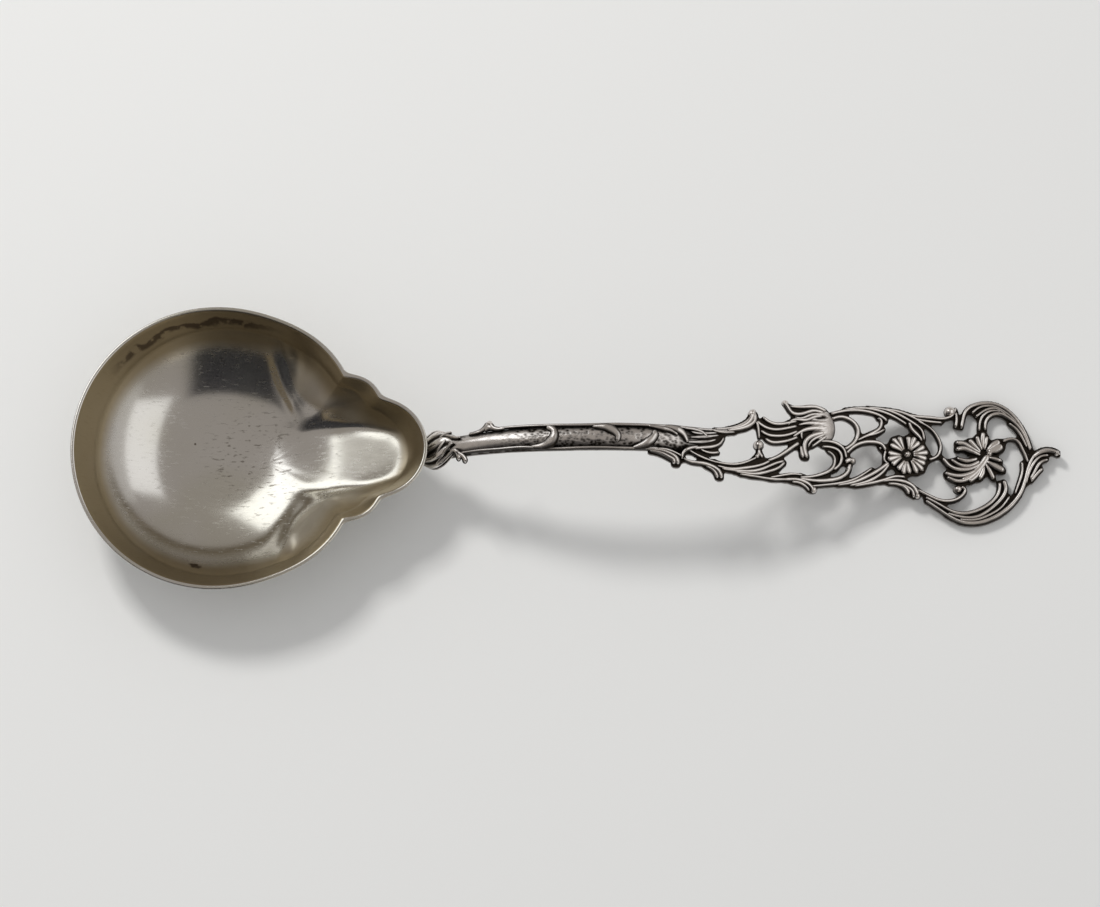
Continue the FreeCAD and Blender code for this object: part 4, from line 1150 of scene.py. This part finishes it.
@dataclass(frozen=True)
class Handle:
    """The cast handle: collar, shaft and openwork with all their raised lines."""

    collar_start: float = 1.4
    collar_cut: float = 0.14
    collar_length: float = 5.4
    collar_width: float = 6.2
    collar_thickness: float = 3.5
    flutes: int = 9
    twist: float = 8.0
    shaft_end: float = 41.7
    taper: float = 3.5
    thin_end: float = 0.7
    low_crown: float = 0.15
    pits: int = 500
    pit_radius: float = 0.17
    pit_depth: float = 0.07
    pit_stretch: float = 1.4
    cup_turn: float = 0.16
    slot_depth: float = 0.45
    flute_depth: float = 0.16
    seed: int = 11

    def strands(self, lines: Lines, rise: float = 1.0, broad: float = 1.0) -> list[Strand]:
        """Strands for a table of lines, each lifted a hair more than the one before.

        Args:
            lines: Points and widths of the lines.
            rise: Share of the full height.
            broad: Factor on the widths.

        Returns:
            One strand to each line.
        """
        return [Strand(p, (a * broad, b * broad, c * broad), rise, HAIR * (i % 9))
                for i, (p, (a, b, c)) in enumerate(lines)]

    def rose(self) -> list[Strand]:
        """Petals of the middle flower, each of three round lobes side by side.

        Returns:
            Three strands to each petal.
        """
        made = []
        u, v = ROSE_CENTRE
        for turn, length in ROSE_PETALS:
            for spread, share in ((-19, 0.93), (0, 1.0), (19, 0.93)):
                a, b = np.radians(turn + spread), np.radians(turn + 0.6 * spread)
                ends = [(u + r * np.cos(c), v + r * np.sin(c))
                        for r, c in ((0.85, b), (0.55 * length * share, (a + b) / 2), (length * share, a))]
                made.append(Strand(tuple(ends), (0.32, 0.9, 1.35), 1.0, HAIR * len(made)))
        return made

    def bead(self, shell: Shell, dome: Dome) -> None:
        """Adds a bead: rings of an ellipse whose height is the quarter circle over its share.

        Args:
            shell: The shell that takes it.
            dome: Station, side, half length, half width, turn in degrees and height.
        """
        u, v, long, wide, turn, high = dome
        phi = np.linspace(0, np.pi / 2 * 0.97, 9)[:, None]
        around = full_turn(24)[None]
        c, s = np.cos(np.radians(turn)), np.sin(np.radians(turn))
        p, q = long * np.cos(phi) * np.cos(around), wide * np.cos(phi) * np.sin(around)
        x, y = ARCH.root_x + u + c * p - s * q, v + s * p + c * q
        at = np.array(ARCH.root_x + u)
        z = ARCH.height(at) + SHAFT.face(at, np.array(v)) - 0.3 + high * np.sin(phi) + 0 * around
        shell.dome(np.stack([x, y, z], axis=-1), np.sin(phi) ** 0.5 + 0 * around, 0.4)

    def collar(self) -> None:
        """Knop at the root: ellipses along the handle, swollen in the middle and cut by slanting flutes.

        The radius is sin(pi (0.14 + 0.72 t)) times 1 - 0.14 ((1 + cos(9 a + 8 t)) / 2)^2.
        """
        t = np.linspace(0, 1, 50)[:, None]
        a = full_turn(120)[None]
        x = ARCH.root_x - self.collar_start + self.collar_length * t + 0 * a
        flute = (1 + np.cos(self.flutes * a + self.twist * t)) / 2
        size = np.sin(np.pi * (0.14 + 0.72 * t)) * (1 - self.collar_cut * flute**2)
        y = 0.5 * self.collar_width * size * np.cos(a)
        z = ARCH.height(x) + 0.5 * SHAFT.edge + 0.25 + 0.5 * self.collar_thickness * size * np.sin(a)
        shell = Shell("collar")
        shell.tube(np.stack([x, y, z], axis=-1), 1 - 0.95 * flute**1.5 + 0 * x)
        shell.build(CAST_SILVER)

    def punched(self, x: Array, y: Array, across: Array) -> tuple[Array, Array]:
        """Small pits, exp(-(d / radius)^2) from each centre with d shrunk along the spoon.

        There are none on the smooth stretch at the collar but for the edges, and most are on the low side.

        Args:
            x: Column of distances along the spoon.
            y: Distances from the middle line.
            across: Shares of the half width.

        Returns:
            Depth of the pits from 0 to 1, and how rough the ground is from 0 to 1.
        """
        rng = np.random.default_rng(self.seed)
        spots = np.column_stack([rng.uniform(ARCH.root_x + 3, ARCH.root_x + 40, self.pits),
                                 1.9 - 3.8 * rng.uniform(0, 1, self.pits) ** 0.7])
        along, aside = (x[..., None] - spots[:, 0]) / self.pit_stretch, y[..., None] - spots[:, 1]
        gap = np.hypot(along, aside).min(axis=-1)
        rough = np.clip((x - ARCH.root_x - 9) / 7, 0, 1) * np.clip(0.45 + across, 0, 1)
        rough = np.clip(rough + np.clip(across * 2.5 - 1.3, 0, 0.8), 0, 1)
        return np.exp(-((gap / self.pit_radius) ** 2)) * rough, rough

    def shaft(self) -> None:
        """Solid shaft: rounded sections with a crowned face that is punched with small pits.

        With a running round, the side is cos(a) and the height sign(sin(a)) (1 - |cos(a)|^(10/3))^0.3.
        """
        x = np.linspace(ARCH.root_x - 2.4, ARCH.root_x + self.shaft_end, 400)[:, None]
        a = full_turn(176)[None]
        fade = SHAFT.fade(x)
        last = np.clip((x - ARCH.root_x - self.shaft_end + self.taper) / self.taper, 0, 1)
        wide = SHAFT.half_width(x) * np.sqrt(1 - 0.97 * last**2)
        y = wide * np.cos(a)
        up = np.sign(np.sin(a)) * (1 - np.abs(np.cos(a)) ** (10 / 3)) ** 0.3
        thick = self.thin_end + fade * (SHAFT.edge - self.thin_end)
        across = np.clip(np.abs(y) / wide, 0, 1)
        middle = 1 - across**2
        crown = (self.low_crown + fade * (SHAFT.crown - self.low_crown)) * middle * (up > 0)
        pit, rough = self.punched(x, y, across)
        pit = pit * (up > 0.5)
        z = ARCH.height(x) - SHAFT.drop + 0.01 + thick * (1 + up) / 2 + crown - self.pit_depth * pit
        face = (0.34 + 0.56 * middle) * (1 - 0.75 * pit) * (1 - 0.12 * rough)
        relief = np.where(up > 0.2, face * (0.15 + 0.85 * fade), 0.6)
        shell = Shell("shaft")
        shell.tube(np.stack([x + 0 * y, y, z], axis=-1), relief)
        shell.build(CAST_SILVER)

    def cup(self, shell: Shell) -> None:
        """Adds the bulb of the hanging flower: a wide dome with a slot, and flutes towards the petals.

        The dome is the quarter circle over its share, to the power 0.8. The slot takes off its depth
        times exp(-((p - 0.1) / 0.85)^4 - ((q - 1.2) / 0.22)^2), the flutes theirs times
        cos(4.1 q + 0.4)^2, fading away from the petals.

        Args:
            shell: The shell that takes it.
        """
        u, v, long, wide, _, high = CUP
        phi = np.linspace(0, np.pi / 2 * 0.98, 40)[:, None]
        around = full_turn(120)[None]
        p, q = long * np.cos(phi) * np.cos(around), wide * np.cos(phi) * np.sin(around)
        slot = np.exp(-(((p - 0.1) / 0.85) ** 4) - ((q - 1.2) / 0.22) ** 2)
        flute = np.cos(4.1 * q + 0.4) ** 2 * np.clip(0.75 - 0.8 * p / long, 0, 1)
        c, d = np.cos(self.cup_turn), np.sin(self.cup_turn)
        x, y = ARCH.root_x + u + c * p - d * q, v + d * p + c * q
        z = ARCH.height(x) + SHAFT.plate - 0.2 + high * np.sin(phi) ** 0.8
        z = z - self.slot_depth * slot - self.flute_depth * flute
        relief = np.sin(phi) ** 0.5 * (1 - 0.95 * slot) - 0.55 * flute**2
        shell.dome(np.stack([x, y, z], axis=-1), relief, 0.5)

    def build(self) -> None:
        """Builds the handle's pieces one after the other."""
        self.collar()
        self.shaft()
        on_shaft = {
            "collar_leaves": self.strands(COLLAR_LINES),
            "shaft_lines": self.strands(SHAFT_LINES, 0.6, 1.35) + self.strands(VEIN_LINES, 0.35),
        }
        on_plate = {
            "fork": self.strands(FORK_LINES, 1.0, 1.1), "bell_flower": self.strands(BELL_LINES, 1.0, 1.12),
            "scrolls": self.strands(SCROLL_LINES, 1.0, 1.12), "rose_flower": self.rose(),
            "lily_flower": self.strands(LILY_LINES, 1.0, 1.4), "tip_leaf": self.strands(TIP_LINES, 1.0, 1.1),
        }
        for name, strands in (on_shaft | on_plate).items():
            shell = Shell(name)
            for strand in strands:
                strand.add_to(shell)
            if name == "bell_flower":
                self.cup(shell)
            shell.build(CAST_SILVER)
        shell = Shell("beads")
        for dome in BEADS:
            self.bead(shell, dome)
        shell.build(CAST_SILVER)
        Openwork().ground(sum(on_plate.values(), []) + self.strands(FILLS))


@dataclass(frozen=True)
class Lamp:
    """Soft rectangular lamp that is turned to the spoon."""

    name: str
    place: Colour
    size: Point
    power: float
    role: Role = Role.SHEEN
    colour: Colour = (0.95, 0.98, 1.0)
    aim: Colour = (40.0, 0.0, 5.0)

    def hang(self) -> None:
        """Makes the lamp and turns its back axis away from the spoon, with its long side level."""
        data = bpy.data.lights.new(self.name, "AREA")
        data.shape = "RECTANGLE"
        data.size, data.size_y = self.size[0] * MM, self.size[1] * MM
        data.energy, data.color = self.power, self.colour
        back = np.array(self.place) - np.array(self.aim)
        back /= np.linalg.norm(back)
        side = np.cross([0.0, 0.0, 1.0], back)
        side /= np.linalg.norm(side)
        turn = np.eye(4)
        turn[:3, 0], turn[:3, 1], turn[:3, 2] = side, np.cross(back, side), back
        turn[:3, 3] = np.array(self.place) * MM
        lamp = put_in(self.name, data)
        lamp.matrix_world = Matrix(turn.tolist())
        lamp.visible_glossy = self.role is Role.SHEEN
        lamp.visible_diffuse = self.role is Role.LIGHT


@dataclass(frozen=True)
class Studio:
    """Pale floor, soft lamps and the camera over the spoon."""

    target: Colour = (51.7, 0.0, 7.56)
    distance: float = 700.0
    elevation: float = 77.0
    lens: float = 148.9
    floor_drop: float = 0.02
    lamps: tuple[Lamp, ...] = (
        Lamp("window", (560.0, 40.0, 560.0), (900.0, 520.0), 1.06),
        Lamp("low_window", (700.0, 40.0, 230.0), (1100.0, 240.0), 0.17),
        Lamp("softbox", (-360.0, 390.0, 470.0), (390.0, 540.0), 1.02),
        Lamp("glow", (160.0, -430.0, 75.0), (160.0, 120.0), 0.035, colour=(1.0, 0.9, 0.7)),
        Lamp("key", (-220.0, 400.0, 560.0), (150.0, 150.0), 2.4, Role.LIGHT, (1.0, 0.99, 0.97)),
    )

    def flag(self) -> None:
        """Stands a leaning black card in front, low, which only the bowl's far wall reflects.

        The card is a grid of 4 by 4 points in metres, x the distance along the spoon, and fades out
        at its top and sides.
        """
        across, up = np.meshgrid(np.array([-0.62, -0.34, 0.11, 0.17]), np.array([0.0, 0.1, 0.9, 1.0]))
        across = across - 0.06 * (1 - up) * (across > 0)
        points = np.stack([across, -0.38 + 0.15 * up, 0.01 + 0.53 * up], axis=-1).reshape(-1, 3)
        index = np.arange(16).reshape(4, 4)
        faces = np.stack([index[:-1, :-1], index[:-1, 1:], index[1:, 1:], index[1:, :-1]], axis=-1)
        mesh = bpy.data.meshes.new("flag")
        mesh.from_pydata(points.tolist(), [], faces.reshape(-1, 4).tolist())
        dense = np.zeros((4, 4), dtype=np.float32)
        dense[1:3, 1:3] = 1
        dense[0, 1:3] = 0.6
        dense[:3, 0] = 0.5
        mesh.attributes.new("dense", "FLOAT", "POINT").data.foreach_set("value", dense.ravel())
        mesh.materials.append(new_material("flag_cloth", lambda kit: {
            "Base Color": (0.02, 0.02, 0.025),
            "Alpha": kit.add("ShaderNodeAttribute", attribute_name="dense").outputs["Fac"]}))
        flag = put_in("flag", mesh)
        flag.visible_diffuse = flag.visible_shadow = False
        flag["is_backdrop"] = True

    def floor(self) -> None:
        """Lays a wide pale floor just under the spoon."""
        mesh = bpy.data.meshes.new("floor")
        low = -self.floor_drop * MM
        mesh.from_pydata([(-2, -2, low), (2, -2, low), (2, 2, low), (-2, 2, low)], [], [(0, 1, 2, 3)])
        paint = {"Base Color": (0.86, 0.86, 0.85), "Roughness": 0.7}
        mesh.materials.append(new_material("floor_paint", lambda _: paint))
        put_in("floor", mesh)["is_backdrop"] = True

    def surround(self) -> None:
        """Sets pale surroundings, warmer and darker where the silver mirrors them."""
        world = bpy.data.worlds.new("studio")
        world.use_nodes = True
        kit = NodeKit(world.node_tree)
        mirrored = kit.add("ShaderNodeLightPath").outputs["Is Glossy Ray"]
        colour = kit.mix(mirrored, (0.54, 0.54, 0.54), (0.37, 0.345, 0.32))
        kit.feed(world.node_tree.nodes["Background"], {"Color": colour, "Strength": 1.0})
        bpy.context.scene.world = world

    def camera(self) -> None:
        """Sets the camera to the place from which the photograph was taken."""
        data = bpy.data.cameras.new("camera")
        data.lens, data.sensor_width = self.lens, 36.0
        data.clip_start, data.clip_end = 0.01, 10.0
        camera = put_in("camera", data)
        tilt = np.radians(self.elevation)
        off = np.array([0.0, -np.cos(tilt), np.sin(tilt)]) * self.distance
        camera.location = (np.array(self.target) + off) * MM
        camera.rotation_euler = (np.pi / 2 - tilt, 0, 0)
        bpy.context.scene.camera = camera

    def build(self) -> None:
        """Sets up floor, card, lamps, surroundings, camera and colour handling."""
        self.floor()
        self.flag()
        for lamp in self.lamps:
            lamp.hang()
        self.surround()
        self.camera()
        bpy.context.scene.view_settings.view_transform = "Standard"


def corners() -> list[list[float]]:
    """Lowest and highest corner of the shown object as plain lists."""
    return [list(c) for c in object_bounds()]


def main() -> None:
    """Builds the spoon's pieces and the studio."""
    logging.basicConfig(level=logging.INFO, format="%(name)s %(message)s")
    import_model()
    Bowl().build()
    log.info("bowl done")
    Handle().build()
    log.info("handle done")
    Studio().build()
    log.info("studio done")


if __name__ == "__main__":
    main()
